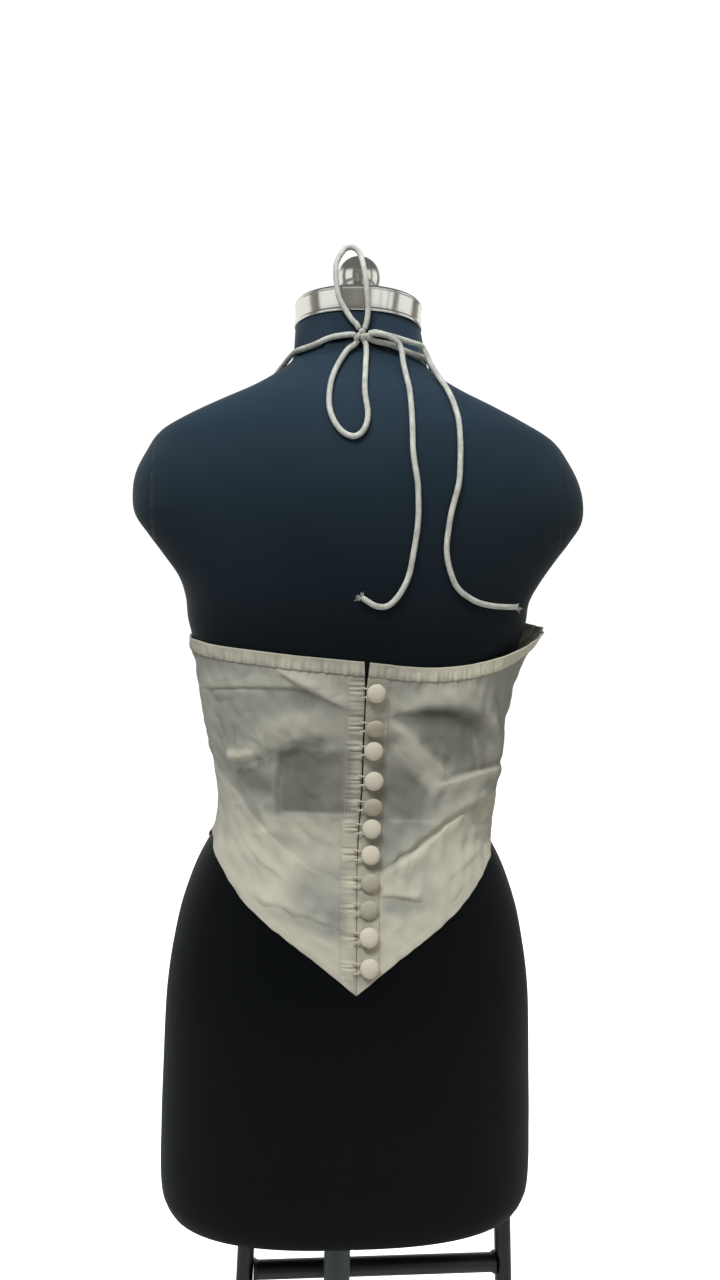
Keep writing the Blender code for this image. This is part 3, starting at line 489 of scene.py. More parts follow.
def raised(tree, shader, height, strength, distance):
    bump = tree.nodes.new("ShaderNodeBump")
    bump.inputs["Strength"].default_value = strength
    bump.inputs["Distance"].default_value = distance
    tree.links.new(height, bump.inputs["Height"])
    tree.links.new(bump.outputs["Normal"], shader.inputs["Normal"])


knit, knit_tree, knit_shader = new_material("black_knit", (0.012, 0.015, 0.019), 0.55)
knit_at = knit_tree.nodes.new("ShaderNodeTexCoord").outputs["Object"]
knit_cloud = noise(knit_tree, knit_at, 7, 2)
knit_lint = noise(knit_tree, knit_at, 900, 1)
knit_mix = sum_of(knit_tree, knit_cloud, knit_lint, 0.35)
knit_colours = [(0.35, (0.018, 0.030, 0.042)), (0.75, (0.024, 0.039, 0.055))]
# Painted light: the knit's colour is multiplied down towards the bottom of the form and left whole only near the top,
# standing in for the light that falls off down the form.
KNIT_PAINTED_SHADE_BELOW = 0.95
KNIT_PAINTED_LIGHT_ABOVE = 1.35
KNIT_PAINTED_LIGHT_RAMP = [
    (0.0, (0.055, 0.05, 0.045)),
    (0.45, (0.15, 0.14, 0.13)),
    (0.72, (0.50, 0.53, 0.50)),
    (1.0, (1.0, 1.0, 1.0)),
]
knit_parts = knit_tree.nodes.new("ShaderNodeSeparateXYZ")
knit_tree.links.new(knit_at, knit_parts.inputs["Vector"])
knit_light_height = knit_tree.nodes.new("ShaderNodeMapRange")
knit_light_height.inputs["From Min"].default_value = KNIT_PAINTED_SHADE_BELOW
knit_light_height.inputs["From Max"].default_value = KNIT_PAINTED_LIGHT_ABOVE
knit_tree.links.new(knit_parts.outputs["Z"], knit_light_height.inputs["Value"])
knit_painted_fade = ramp_between(knit_tree, knit_light_height.outputs["Result"], KNIT_PAINTED_LIGHT_RAMP)
knit_shaded_colour = knit_tree.nodes.new("ShaderNodeMix")
knit_shaded_colour.data_type = "RGBA"
knit_shaded_colour.blend_type = "MULTIPLY"
knit_shaded_colour.inputs["Factor"].default_value = 1
knit_tree.links.new(ramp_between(knit_tree, knit_mix, knit_colours), knit_shaded_colour.inputs["A"])
knit_tree.links.new(knit_painted_fade, knit_shaded_colour.inputs["B"])
knit_tree.links.new(knit_shaded_colour.outputs["Result"], knit_shader.inputs["Base Color"])
knit_rows = stripes(knit_tree, knit_at, "Z", 0.9 * MM)
raised(knit_tree, knit_shader, sum_of(knit_tree, knit_rows, knit_lint, 0.8), 0.18, 0.25 * MM)
knit_shader.inputs["Specular IOR Level"].default_value = 0.09
knit_shader.inputs["Sheen Weight"].default_value = 0.02
knit_shader.inputs["Sheen Roughness"].default_value = 0.5
knit_shader.inputs["Sheen Tint"].default_value = (0.62, 0.78, 0.92, 1)

FORM_ROWS = 190
form_columns = len(form_angles) - 1
torso_place = form_place(FORM_FOOT, NECK_SEAM - SEAM_GAP, FOOT_ROUND)
torso_size = (0.9, NECK_SEAM - FORM_FOOT)
torso = closed(laid_grid("dress_form_torso", form_columns, FORM_ROWS, torso_place, torso_size))
closed(torso, ARMHOLE_ACROSS, -1)
closed(torso, -ARMHOLE_ACROSS, 1)
shown("dress_form_torso", torso, knit, ["form_torso"])
for side_name, side in (("left", -1), ("right", 1)):
    node = "form_shoulder_cap_" + side_name
    shoulder = closed(laid_grid("dress_" + node, form_columns, FORM_ROWS, torso_place, torso_size))
    closed(shoulder, side * (ARMHOLE_ACROSS + SEAM_GAP), side)
    shown("dress_" + node, shoulder, knit, [node])
neck_place = form_place(NECK_SEAM, NECK_TOP, 0.0)
neck = closed(laid_grid("dress_form_neck", form_columns, 14, neck_place, (0.36, NECK_TOP - NECK_SEAM)))
shown("dress_form_neck", neck, knit, ["form_neck"])

# The cap on the neck and its knob: turned and polished plated metal, with a rolled rim at the top
# and a small lip at the foot.
CAP_RADIUS = 58.5 * MM
CAP_FOOT = NECK_TOP + 0.3 * MM
CAP_TOP = CAP_FOOT + 23 * MM
KNOB_RADIUS = 20 * MM
KNOB_FOOT = CAP_TOP + 2.9 * MM
KNOB_CENTRE = KNOB_FOOT + 3 * MM + KNOB_RADIUS * 0.94


def turned(name, profile, steps):
    """A solid turned about Z from a (radius, height) profile that starts and ends on the axis."""
    shape = bmesh.new()
    points = [shape.verts.new((radius, 0, height)) for radius, height in profile]
    line = [shape.edges.new(pair) for pair in zip(points, points[1:])]
    bmesh.ops.spin(
        shape,
        geom=points + line,
        cent=(0, 0, 0),
        axis=(0, 0, 1),
        dvec=(0, 0, 0),
        angle=2 * math.pi,
        steps=steps,
        use_merge=True,
        use_duplicate=False,
    )
    bmesh.ops.remove_doubles(shape, verts=shape.verts, dist=0.00001)
    bmesh.ops.recalc_face_normals(shape, faces=shape.faces)
    mesh = bpy.data.meshes.new(name)
    shape.to_mesh(mesh)
    shape.free()
    return mesh


chrome, chrome_tree, chrome_shader = new_material("polished_cap", (0.80, 0.79, 0.75), 0.12)
chrome_at = chrome_tree.nodes.new("ShaderNodeTexCoord").outputs["Object"]
chrome_shader.inputs["Metallic"].default_value = 1.0
chrome_wear = noise(chrome_tree, chrome_at, 60, 4)
chrome_rough = chrome_tree.nodes.new("ShaderNodeMapRange")
chrome_rough.inputs["To Min"].default_value = 0.07
chrome_rough.inputs["To Max"].default_value = 0.24
chrome_tree.links.new(chrome_wear, chrome_rough.inputs["Value"])
chrome_tree.links.new(chrome_rough.outputs["Result"], chrome_shader.inputs["Roughness"])
raised(chrome_tree, chrome_shader, noise(chrome_tree, chrome_at, 45, 2), 0.12, 0.5 * MM)

cap_profile = [
    (0, CAP_TOP + 2.6 * MM),
    (24 * MM, CAP_TOP + 2.2 * MM),
    (CAP_RADIUS - 7.0 * MM, CAP_TOP + 0.9 * MM),
    (CAP_RADIUS - 3.0 * MM, CAP_TOP + 0.2 * MM),
    (CAP_RADIUS - 1.2 * MM, CAP_TOP - 0.5 * MM),
    (CAP_RADIUS - 0.2 * MM, CAP_TOP - 1.7 * MM),
    (CAP_RADIUS, CAP_TOP - 3.0 * MM),
    (CAP_RADIUS - 0.6 * MM, CAP_TOP - 4.0 * MM),
    (CAP_RADIUS - 0.7 * MM, CAP_TOP - 12 * MM),
    (CAP_RADIUS - 0.6 * MM, CAP_FOOT + 3.4 * MM),
    (CAP_RADIUS, CAP_FOOT + 2.6 * MM),
    (CAP_RADIUS + 0.2 * MM, CAP_FOOT + 1.4 * MM),
    (CAP_RADIUS - 0.2 * MM, CAP_FOOT + 0.3 * MM),
    (CAP_RADIUS - 1.0 * MM, CAP_FOOT),
    (0, CAP_FOOT),
]
cap = shown("polished_neck_cap", turned("polished_neck_cap", cap_profile, 128), chrome, ["neck_cap"])
cap_edge = cap.modifiers.new("rim", "BEVEL")
cap_edge.width = 0.25 * MM
cap_edge.segments = 2
cap_edge.limit_method = "ANGLE"

knob_profile = [(0, KNOB_CENTRE + KNOB_RADIUS)]
for i in range(1, 22):
    lean = math.radians(6.7 * i)
    knob_profile.append((KNOB_RADIUS * math.sin(lean), KNOB_CENTRE + KNOB_RADIUS * math.cos(lean)))
knob_profile += [
    (9.4 * MM, KNOB_FOOT + 3.2 * MM),
    (9.2 * MM, KNOB_FOOT + 2.2 * MM),
    (10.6 * MM, KNOB_FOOT + 1.2 * MM),
    (11 * MM, KNOB_FOOT + 0.4 * MM),
    (10.6 * MM, KNOB_FOOT),
    (0, KNOB_FOOT),
]
shown("polished_neck_knob", turned("polished_neck_knob", knob_profile, 72), chrome, ["neck_knob"])

# The stand: a grey painted post under the form's flange, and a black painted tube frame with
# welded crossbars on two floor runners. Only its top shows in the photograph.
POST_ACROSS = -6 * MM
POST_RADIUS = 12 * MM
TUBE_RADIUS = 8 * MM
CROSSBAR_RADIUS = 8.5 * MM
UPRIGHT_LEFT = -88 * MM
UPRIGHT_RIGHT = 155 * MM
UPRIGHT_BACK = 40 * MM
UPRIGHT_SPLAY = 2.0
CROSSBAR_HEIGHT = 0.528
FLANGE_HEIGHT = 8 * MM
FLANGE_RADIUS = 62 * MM
RUNNER_LENGTH = 0.440
RUNNER_WIDTH = 26 * MM
RUNNER_HEIGHT = 20 * MM
FIT = 0.3 * MM
FLANGE_FOOT = FORM_FOOT - FIT - FLANGE_HEIGHT
RAIL_HEIGHT = FLANGE_FOOT - FIT - TUBE_RADIUS

painted_black, black_tree, black_shader = new_material("black_stand_paint", (0.006, 0.0065, 0.007), 0.34)
black_at = black_tree.nodes.new("ShaderNodeTexCoord").outputs["Object"]
black_peel = noise(black_tree, black_at, 420, 2)
raised(black_tree, black_shader, black_peel, 0.10, 0.3 * MM)
black_dust = noise(black_tree, black_at, 26, 5)
black_colours = [(0.45, (0.0055, 0.006, 0.0065)), (0.8, (0.013, 0.013, 0.0125))]
black_tree.links.new(ramp_between(black_tree, black_dust, black_colours), black_shader.inputs["Base Color"])

painted_grey, grey_tree, grey_shader = new_material("grey_post_paint", (0.055, 0.062, 0.064), 0.42)
grey_at = grey_tree.nodes.new("ShaderNodeTexCoord").outputs["Object"]
grey_streaks = noise(grey_tree, grey_at, 90, 3, (1, 1, 0.06))
grey_colours = [(0.4, (0.044, 0.050, 0.052)), (0.7, (0.060, 0.067, 0.069))]
grey_tree.links.new(ramp_between(grey_tree, grey_streaks, grey_colours), grey_shader.inputs["Base Color"])
raised(grey_tree, grey_shader, grey_streaks, 0.06, 0.3 * MM)


def tube(name, start, end, radius, material, node, weld=0.0):
    """A round tube with eased ends, and a weld bead round an end where asked."""
    start, end = Vector(start), Vector(end)
    along = end - start
    turn = along.to_track_quat("Z", "Y").to_matrix().to_4x4()
    shape = bmesh.new()
    bmesh.ops.create_cone(
        shape,
        cap_ends=True,
        segments=48,
        radius1=radius,
        radius2=radius,
        depth=along.length,
        matrix=Matrix.Translation((start + end) / 2) @ turn,
    )
    rims = [edge for edge in shape.edges if any(len(face.verts) > 4 for face in edge.link_faces)]
    bmesh.ops.bevel(
        shape,
        geom=rims,
        offset=0.8 * MM,
        segments=3,
        profile=0.5,
        affect="EDGES",
        material=-1,
    )
    if weld:
        for place, inward in ((start, 1), (end, -1)):
            middle = place + along.normalized() * inward * weld / 2
            flare = turn if inward > 0 else turn @ Matrix.Rotation(math.pi, 4, "X")
            bmesh.ops.create_cone(
                shape,
                cap_ends=True,
                segments=48,
                radius1=radius + weld * 0.55,
                radius2=radius * 0.99,
                depth=weld,
                matrix=Matrix.Translation(middle) @ flare,
            )
    mesh = bpy.data.meshes.new(name)
    shape.to_mesh(mesh)
    shape.free()
    mesh.shade_smooth()
    piece = shown(name, mesh, material, [node])
    mesh.set_sharp_from_angle(angle=math.radians(50))
    return piece


flange_profile = [
    (0, FORM_FOOT - FIT),
    (FLANGE_RADIUS - 1.5 * MM, FORM_FOOT - FIT),
    (FLANGE_RADIUS, FORM_FOOT - FIT - 1.2 * MM),
    (FLANGE_RADIUS, FLANGE_FOOT + 2 * MM),
    (FLANGE_RADIUS - 2 * MM, FLANGE_FOOT),
    (0, FLANGE_FOOT),
]
flange = turned("stand_flange_plate", flange_profile, 96)
shown("stand_flange_plate", flange, painted_black, ["stand_flange"])
flange.set_sharp_from_angle(angle=math.radians(30))
post_start = (POST_ACROSS, 0, RUNNER_HEIGHT + FIT)
post_end = (POST_ACROSS, 0, FLANGE_FOOT - FIT)
tube("grey_stand_post", post_start, post_end, POST_RADIUS, painted_grey, "stand_post")


def runner(name, low, high, node):
    """A flat rectangular tube with rounded edges."""
    low, high = Vector(low), Vector(high)
    shape = bmesh.new()
    place = Matrix.Translation((low + high) / 2) @ Matrix.Diagonal((*(high - low), 1))
    bmesh.ops.create_cube(shape, size=1, matrix=place)
    bmesh.ops.bevel(
        shape,
        geom=shape.edges[:],
        offset=3 * MM,
        segments=5,
        profile=0.5,
        affect="EDGES",
        material=-1,
    )
    mesh = bpy.data.meshes.new(name)
    shape.to_mesh(mesh)
    shape.free()
    shown(name, mesh, painted_black, [node])
    mesh.set_sharp_from_angle(angle=math.radians(40))


frame_top = RAIL_HEIGHT + TUBE_RADIUS + 2 * MM
bar_ends = {}
rail_ends = {}
inner_ends = {}
for side_name, side, top_across in (("left", -1, UPRIGHT_LEFT), ("right", 1, UPRIGHT_RIGHT)):
    foot = RUNNER_HEIGHT + FIT
    splay = math.tan(math.radians(UPRIGHT_SPLAY)) * side
    foot_across = top_across + (frame_top - foot) * splay
    start = (foot_across, UPRIGHT_BACK, foot)
    end = (top_across, UPRIGHT_BACK, frame_top)
    node = "stand_upright_" + side_name
    tube("black_" + node, start, end, TUBE_RADIUS, painted_black, node)
    clear = side * (TUBE_RADIUS + FIT)
    bar_ends[side] = top_across + (frame_top - CROSSBAR_HEIGHT) * splay - clear
    rail_ends[side] = top_across + (frame_top - RAIL_HEIGHT) * splay - clear
    inner_ends[side] = foot_across - side * (RUNNER_WIDTH / 2 + FIT)
    low = (foot_across - RUNNER_WIDTH / 2, -RUNNER_LENGTH / 2, 0)
    high = (foot_across + RUNNER_WIDTH / 2, RUNNER_LENGTH / 2, RUNNER_HEIGHT)
    runner("black_stand_runner_" + side_name, low, high, "stand_runner_" + side_name)
for name, ends, height, radius, node in (
    ("black_stand_crossbar", bar_ends, CROSSBAR_HEIGHT, CROSSBAR_RADIUS, "stand_crossbar"),
    ("black_stand_top_rail", rail_ends, RAIL_HEIGHT, TUBE_RADIUS, "stand_top_rail"),
):
    start = (ends[-1], UPRIGHT_BACK, height)
    end = (ends[1], UPRIGHT_BACK, height)
    weld = 4 * MM if node == "stand_crossbar" else 0.0
    tube(name, start, end, radius, painted_black, node, weld)
bar_low = (inner_ends[-1], -17 * MM, 0)
bar_high = (inner_ends[1], 17 * MM, RUNNER_HEIGHT)
runner("black_stand_floor_bar", bar_low, bar_high, "stand_floor_bar")

# The backs: two panels of thin cotton, doubled below a slanting line, each cut to a point at the
# hem. They lie over the form with the ease, the folds and the creases of a worn top.
BackEdge = namedtuple("BackEdge", "angle hem top_left top_right")
BACK_EDGES = [
    BackEdge(0, 0.8435, 1.1121, 1.1116),
    BackEdge(15, 0.8668, 1.1142, 1.1088),
    BackEdge(30, 0.8872, 1.1165, 1.1080),
    BackEdge(45, 0.9085, 1.1198, 1.1108),
    BackEdge(60, 0.9340, 1.1234, 1.1190),
    BackEdge(75, 0.9535, 1.1283, 1.1330),
    BackEdge(90, 0.9575, 1.1320, 1.1450),
]
Opening = namedtuple("Opening", "height across gape")
OPENING = [
    Opening(0.842, -1.2, 0.6),
    Opening(0.906, -0.9, 0.8),
    Opening(0.939, -0.4, 0.8),
    Opening(0.966, 0.4, 1.3),
    Opening(1.002, 2.5, 1.5),
    Opening(1.047, 3.4, 1.6),
    Opening(1.086, 4.0, 1.8),
    Opening(1.112, 4.7, 4.4),
]
SideEase = namedtuple("SideEase", "height left right")
SIDE_EASE = [
    SideEase(0.952, 0.3, 1.0),
    SideEase(0.975, 0.5, 9.2),
    SideEase(1.010, 1.0, 12.0),
    SideEase(1.035, 1.2, 10.2),
    SideEase(1.056, 1.2, 6.8),
    SideEase(1.080, 0.8, 7.2),
    SideEase(1.100, 0.4, 7.4),
    SideEase(1.120, 0.3, 9.5),
    SideEase(1.150, 0.3, 20.0),
]
SNUG = 0.8 * MM
SIDE_SEAM = 88.0
SIDE_EASE_FROM = 38.0
SIDE_EASE_FULL = 80.0
SIDE_EASE_FADES = 100.0
SIDE_EASE_ENDS = 138.0
HOLLOW_EASE = 3.2 * MM
HOLLOW_HEIGHT = 0.990
HOLLOW_TALL = 58 * MM
HOLLOW_ANGLE = 58.0
BUST_EASE = 2.2 * MM
BAND_WIDTH = 12 * MM
PLACKET_WIDTH = 13 * MM
BUTTON_STAND_WIDTH = 18 * MM

# Each crease: how far it rises or sinks and how wide it is on its upper and lower sides, in
# millimetres, and the turns of its line as (angle, height). A line from left to right has its
# upper side on top.
Crease = namedtuple("Crease", "rise upper lower line")
CREASES = [
    Crease(1.7, 8, 1.5, [
        (-76, 1.0877), (-63, 1.0886), (-53, 1.0901), (-44, 1.0907), (-30, 1.0907),
        (-17, 1.0911),
    ]),
    Crease(0.9, 2, 6, [(-70, 1.0835), (-52, 1.0855), (-38, 1.0850)]),
    Crease(2.6, 10, 2.4, [(-39, 1.1068), (-32, 1.0988), (-24, 1.0900), (-15, 1.0812), (-4, 1.0720)]),
    Crease(2.0, 9, 13, [(-52, 1.0473), (-38, 1.0577), (-24, 1.0651), (-9, 1.0706)]),
    Crease(-1.9, 5, 9, [
        (-69, 1.0151), (-53, 1.0231), (-43, 1.0312), (-34, 1.0379), (-23, 1.0426),
        (-7, 1.0455),
    ]),
    Crease(2.1, 7, 3.5, [(-66, 1.0275), (-55, 1.0306), (-46, 1.0342)]),
    Crease(1.5, 1.8, 9, [(-41, 0.9832), (-30, 0.9840), (-15, 0.9841), (-2, 0.9835)]),
    Crease(1.0, 6, 1.4, [(-38, 0.9800), (-38.4, 1.0000), (-38, 1.0180)]),
    Crease(0.8, 2, 7, [
        (-70, 1.0097), (-59, 0.9919), (-52, 0.9766), (-38, 0.9558), (-23, 0.9388),
        (-3, 0.9250),
    ]),
    Crease(-1.8, 6, 5, [(-43, 0.9098), (-31, 0.9025), (-21, 0.8964), (-4, 0.8840)]),
    Crease(1.7, 9, 5, [(-45, 0.9185), (-25, 0.9080), (-9, 0.8965)]),
    Crease(-0.9, 4, 4, [(-28, 0.9105), (-13, 0.9042), (-2, 0.8997)]),
    Crease(-1.0, 2.4, 2.4, [(-66, 1.0660), (-64, 1.0420)]),
    Crease(-0.8, 2.2, 2.4, [(-59, 1.0560), (-59, 1.0350)]),
    Crease(0.9, 5, 1.5, [(-46, 1.0210), (-45, 1.0510)]),
    Crease(0.8, 5, 3, [(-60, 0.9690), (-45, 0.9450), (-30, 0.9300)]),
    Crease(-0.7, 4, 6, [(-58, 0.9500), (-44, 0.9300), (-34, 0.9210)]),
    Crease(0.7, 6, 4, [(-52, 1.0010), (-44, 0.9700), (-33, 0.9480)]),
    Crease(-0.6, 3, 3, [(-30, 0.9750), (-22, 0.9560), (-12, 0.9420)]),
    Crease(2.9, 12, 2.6, [
        (11, 1.0662), (19, 1.0712), (31, 1.0755), (40, 1.0762), (47, 1.0742),
        (57, 1.0676), (64, 1.0562), (69, 1.0419), (71, 1.0310),
    ]),
    Crease(-1.7, 4, 9, [(14, 1.0630), (31, 1.0688), (42, 1.0685), (54, 1.0600), (62, 1.0470)]),
    Crease(3.2, 6, 7, [(11, 1.0640), (20, 1.0550), (26, 1.0457), (33, 1.0327), (41, 1.0194), (47, 1.0080)]),
    Crease(-2.0, 6, 8, [(12, 1.0510), (20, 1.0400), (28, 1.0235), (37, 1.0090)]),
    Crease(2.1, 2.4, 8, [(38, 1.0060), (49, 1.0108), (61, 1.0159), (80, 1.0185)]),
    Crease(-1.2, 5, 2, [(44, 1.0140), (60, 1.0200), (76, 1.0225)]),
    Crease(2.4, 9, 2.2, [
        (11, 0.9405), (21, 0.9516), (32, 0.9640), (42, 0.9770), (50, 0.9860),
        (59, 0.9938), (74, 0.9975),
    ]),
    Crease(1.6, 2.2, 8, [(14, 0.9340), (24, 0.9450), (35, 0.9570), (46, 0.9720), (58, 0.9850)]),
    Crease(0.8, 1.4, 5, [(13, 0.9789), (27, 0.9781), (43, 0.9765)]),
    Crease(-1.9, 3, 5, [(9, 0.9147), (19, 0.9143), (25, 0.9116), (33, 0.9080)]),
    Crease(1.3, 6, 2.5, [(9, 0.9215), (19, 0.9205), (30, 0.9155)]),
    Crease(1.7, 2.4, 8, [(61, 1.0150), (57, 1.0330), (55, 1.0510)]),
    Crease(-1.0, 2.4, 2.6, [(73, 1.0500), (68, 1.0680), (63, 1.0840)]),
    Crease(-0.7, 3, 3, [(19, 0.9300), (22, 0.9560)]),
    Crease(-0.6, 2.6, 2.6, [(25, 0.9360), (27, 0.9570)]),
    Crease(1.4, 8, 9, [(24, 1.0890), (42, 1.0880), (60, 1.0890)]),
    Crease(-0.9, 4, 4, [(56, 0.9720), (66, 0.9700), (76, 0.9760)]),
    Crease(0.9, 6, 4, [(40, 0.9300), (52, 0.9420), (66, 0.9560)]),
    Crease(-0.8, 4, 6, [(34, 0.8990), (46, 0.9150), (58, 0.9330)]),
    Crease(-0.9, 3, 4, [(13, 1.0400), (12.5, 1.0200), (13, 1.0030)]),
]
RIPPLE_WAVES = 16
ripple_draw = np.random.default_rng(11)
ripple_ways = ripple_draw.uniform(0, math.pi, RIPPLE_WAVES)
ripple_pitches = ripple_draw.uniform(9, 34, RIPPLE_WAVES) * MM
ripple_starts = ripple_draw.uniform(0, 2 * math.pi, RIPPLE_WAVES)
RIPPLE_RISE = 0.14 * MM
CREASE_DEPTH = 1.3


def unrolled(angle, height):
    """Where a place of the form lies on the cloth laid flat: distance round from the centre back, and height."""
    return np.radians(angle) * form_radius(angle, height), height + 0 * angle


def crease_rise(crease, across, height):
    """How much one crease lifts the cloth at flat places."""
    turns = np.array(crease.line, float)
    line = np.stack(unrolled(turns[:, 0], turns[:, 1]), axis=-1)
    runs = np.append(0, np.cumsum(np.linalg.norm(np.diff(line, axis=0), axis=1)))
    nearest = np.full(len(across), 1.0)
    above = np.ones(len(across))
    run = np.zeros(len(across))
    for i in range(len(line) - 1):
        along = line[i + 1] - line[i]
        length = np.hypot(*along)
        offset_x, offset_y = across - line[i][0], height - line[i][1]
        share = np.clip((offset_x * along[0] + offset_y * along[1]) / length**2, 0, 1)
        away = np.hypot(offset_x - along[0] * share, offset_y - along[1] * share)
        closer = away < nearest
        nearest = np.where(closer, away, nearest)
        above = np.where(closer, along[0] * offset_y - along[1] * offset_x, above)
        run = np.where(closer, (runs[i] + share * length) / runs[-1], run)
    width = np.where(above > 0, crease.upper, crease.lower) * MM
    ends = ramp(run, 0, 0.22) * (1 - ramp(run, 0.78, 1))
    return CREASE_DEPTH * crease.rise * MM * bell(nearest, width) * (0.12 + 0.88 * ends)


def small_creases(count, seed, from_angle, to_angle, from_height, to_height):
    """Short faint creases for the cloth between the main ones, each its own length and slant."""
    draw = np.random.default_rng(seed)
    creases = []
    for _ in range(count):
        angle = draw.uniform(from_angle, to_angle)
        height = draw.uniform(from_height, to_height)
        slant = draw.normal(0, 0.45) + (math.pi / 2 if draw.random() < 0.22 else 0)
        long = draw.uniform(7, 24) * MM
        run = math.degrees(long * math.cos(slant) / 0.1)
        climb = long * math.sin(slant)
        bow = draw.uniform(-1.5, 1.5) * MM
        line = [(angle, height), (angle + run / 2, height + climb / 2 + bow), (angle + run, height + climb)]
        rise = draw.uniform(0.16, 0.46) * draw.choice((-1, 1))
        creases.append(Crease(rise, draw.uniform(1.6, 4.2), draw.uniform(1.4, 3.4), line))
    return creases


CREASES += small_creases(46, 4, -82, -9, 0.87, 1.095)
CREASES += small_creases(46, 9, 9, 76, 0.87, 1.09)


def ease(angle, height):
    """How far the cloth's inner face stands off the form before its creases."""
    turned_by = np.abs(angle)
    fullness = ramp(turned_by, SIDE_EASE_FROM, SIDE_EASE_FULL)
    fullness = fullness * (1 - ramp(turned_by, SIDE_EASE_FADES, SIDE_EASE_ENDS))
    left = smooth_value(SIDE_EASE, "left", height)
    right = smooth_value(SIDE_EASE, "right", height)
    at_side = np.where(angle < 0, left, right) * MM * fullness
    hollow = bell(turned_by, HOLLOW_ANGLE) + bell(turned_by - 180, HOLLOW_ANGLE)
    in_hollow = HOLLOW_EASE * hollow * bell(height - HOLLOW_HEIGHT, HOLLOW_TALL)
    return SNUG + at_side + in_hollow + BUST_EASE * bust(angle, height)


def ripples(across, height):
    """The faint unevenness of soft cloth."""
    total = np.zeros(len(across))
    for way, pitch, start in zip(ripple_ways, ripple_pitches, ripple_starts):
        total += np.sin((across * math.cos(way) + height * math.sin(way)) * 2 * math.pi / pitch + start)
    return total * RIPPLE_RISE


def cloth_lift(angle, height, creases):
    across, up = unrolled(angle, height)
    lift = ease(angle, height) + ripples(across, up)
    for crease in creases:
        if crease.line[0][0] * float(np.mean(angle)) > 0:
            lift += crease_rise(crease, across, up)
    return np.maximum(lift, 0.45 * MM)


def opening_angle(side, height, beyond):
    """The angle of the opening's edge on one side, or of a place beyond it, in metres."""
    edge = smooth_value(OPENING, "across", height) + side * smooth_value(OPENING, "gape", height) / 2
    reach = form_radius(0 * height, height) + SNUG + HOLLOW_EASE * bell(height - HOLLOW_HEIGHT, HOLLOW_TALL)
    shift = smooth_value(FORM_SECTIONS, "shift", height) * MM
    return np.degrees(np.arcsin((edge * MM + side * beyond - shift) / reach))


def hem_turn(side, across_strip):
    """The angle from the centre back at a share of the way across the strip beside the opening."""
    strip = BUTTON_STAND_WIDTH if side > 0 else PLACKET_WIDTH
    return np.degrees(strip / form_radius(0, BACK_EDGES[0].hem)) * across_strip


def back_spot(side, out, up):
    """(angle, height) on a back: out runs from the opening to the side seam, up from hem to top."""
    strip = BUTTON_STAND_WIDTH if side > 0 else PLACKET_WIDTH
    strip_share = 0.11
    share = np.clip((out - strip_share) / (1 - strip_share), 0, 1)
    nominal = hem_turn(side, np.clip(out / strip_share, 0, 1)) * (1 - share) + SIDE_SEAM * share
    low = smooth_value(BACK_EDGES, "hem", nominal)
    high = smooth_value(BACK_EDGES, "top_right" if side > 0 else "top_left", nominal)
    height = low + (high - low) * up
    in_strip = np.clip(out / strip_share, 0, 1)
    edge = opening_angle(side, height, 0.0)
    start = opening_angle(side, height, strip)
    beyond_strip = start + (side * SIDE_SEAM - start) * share
    return np.where(out < strip_share, edge + (start - edge) * in_strip, beyond_strip), height


HEM_WIDTH = 7 * MM
HEM_RISE = 0.35 * MM
GATHER_PITCHES = (5.3 * MM, 7.9 * MM, 12.7 * MM)


def gathers(across, starts):
    """Small uneven gathers along a seam, from 0 to 1."""
    total = sum(np.sin(across * 2 * math.pi / pitch + start) for pitch, start in zip(GATHER_PITCHES, starts))
    return np.clip(0.5 + total / 4, 0, 1)


def back_surface(side, out, up, lift):
    angle, height = back_spot(side, out, up)
    across, _ = unrolled(angle, height)
    _, hem = back_spot(side, out, 0 * up)
    _, top = back_spot(side, out, 0 * up + 1)
    under_band = np.clip(top - BAND_WIDTH - height, 0, 1)
    rise = cloth_lift(angle, height, CREASES)
    rise += HEM_RISE * (1 - ramp(height - hem, HEM_WIDTH * 0.8, HEM_WIDTH))
    rise += 0.7 * MM * gathers(across, (0.4 * side, 2.0, 4.1)) * bell(under_band, 9 * MM) * (height < top - BAND_WIDTH)
    return around(angle, form_radius(angle, height) + rise + lift, height)


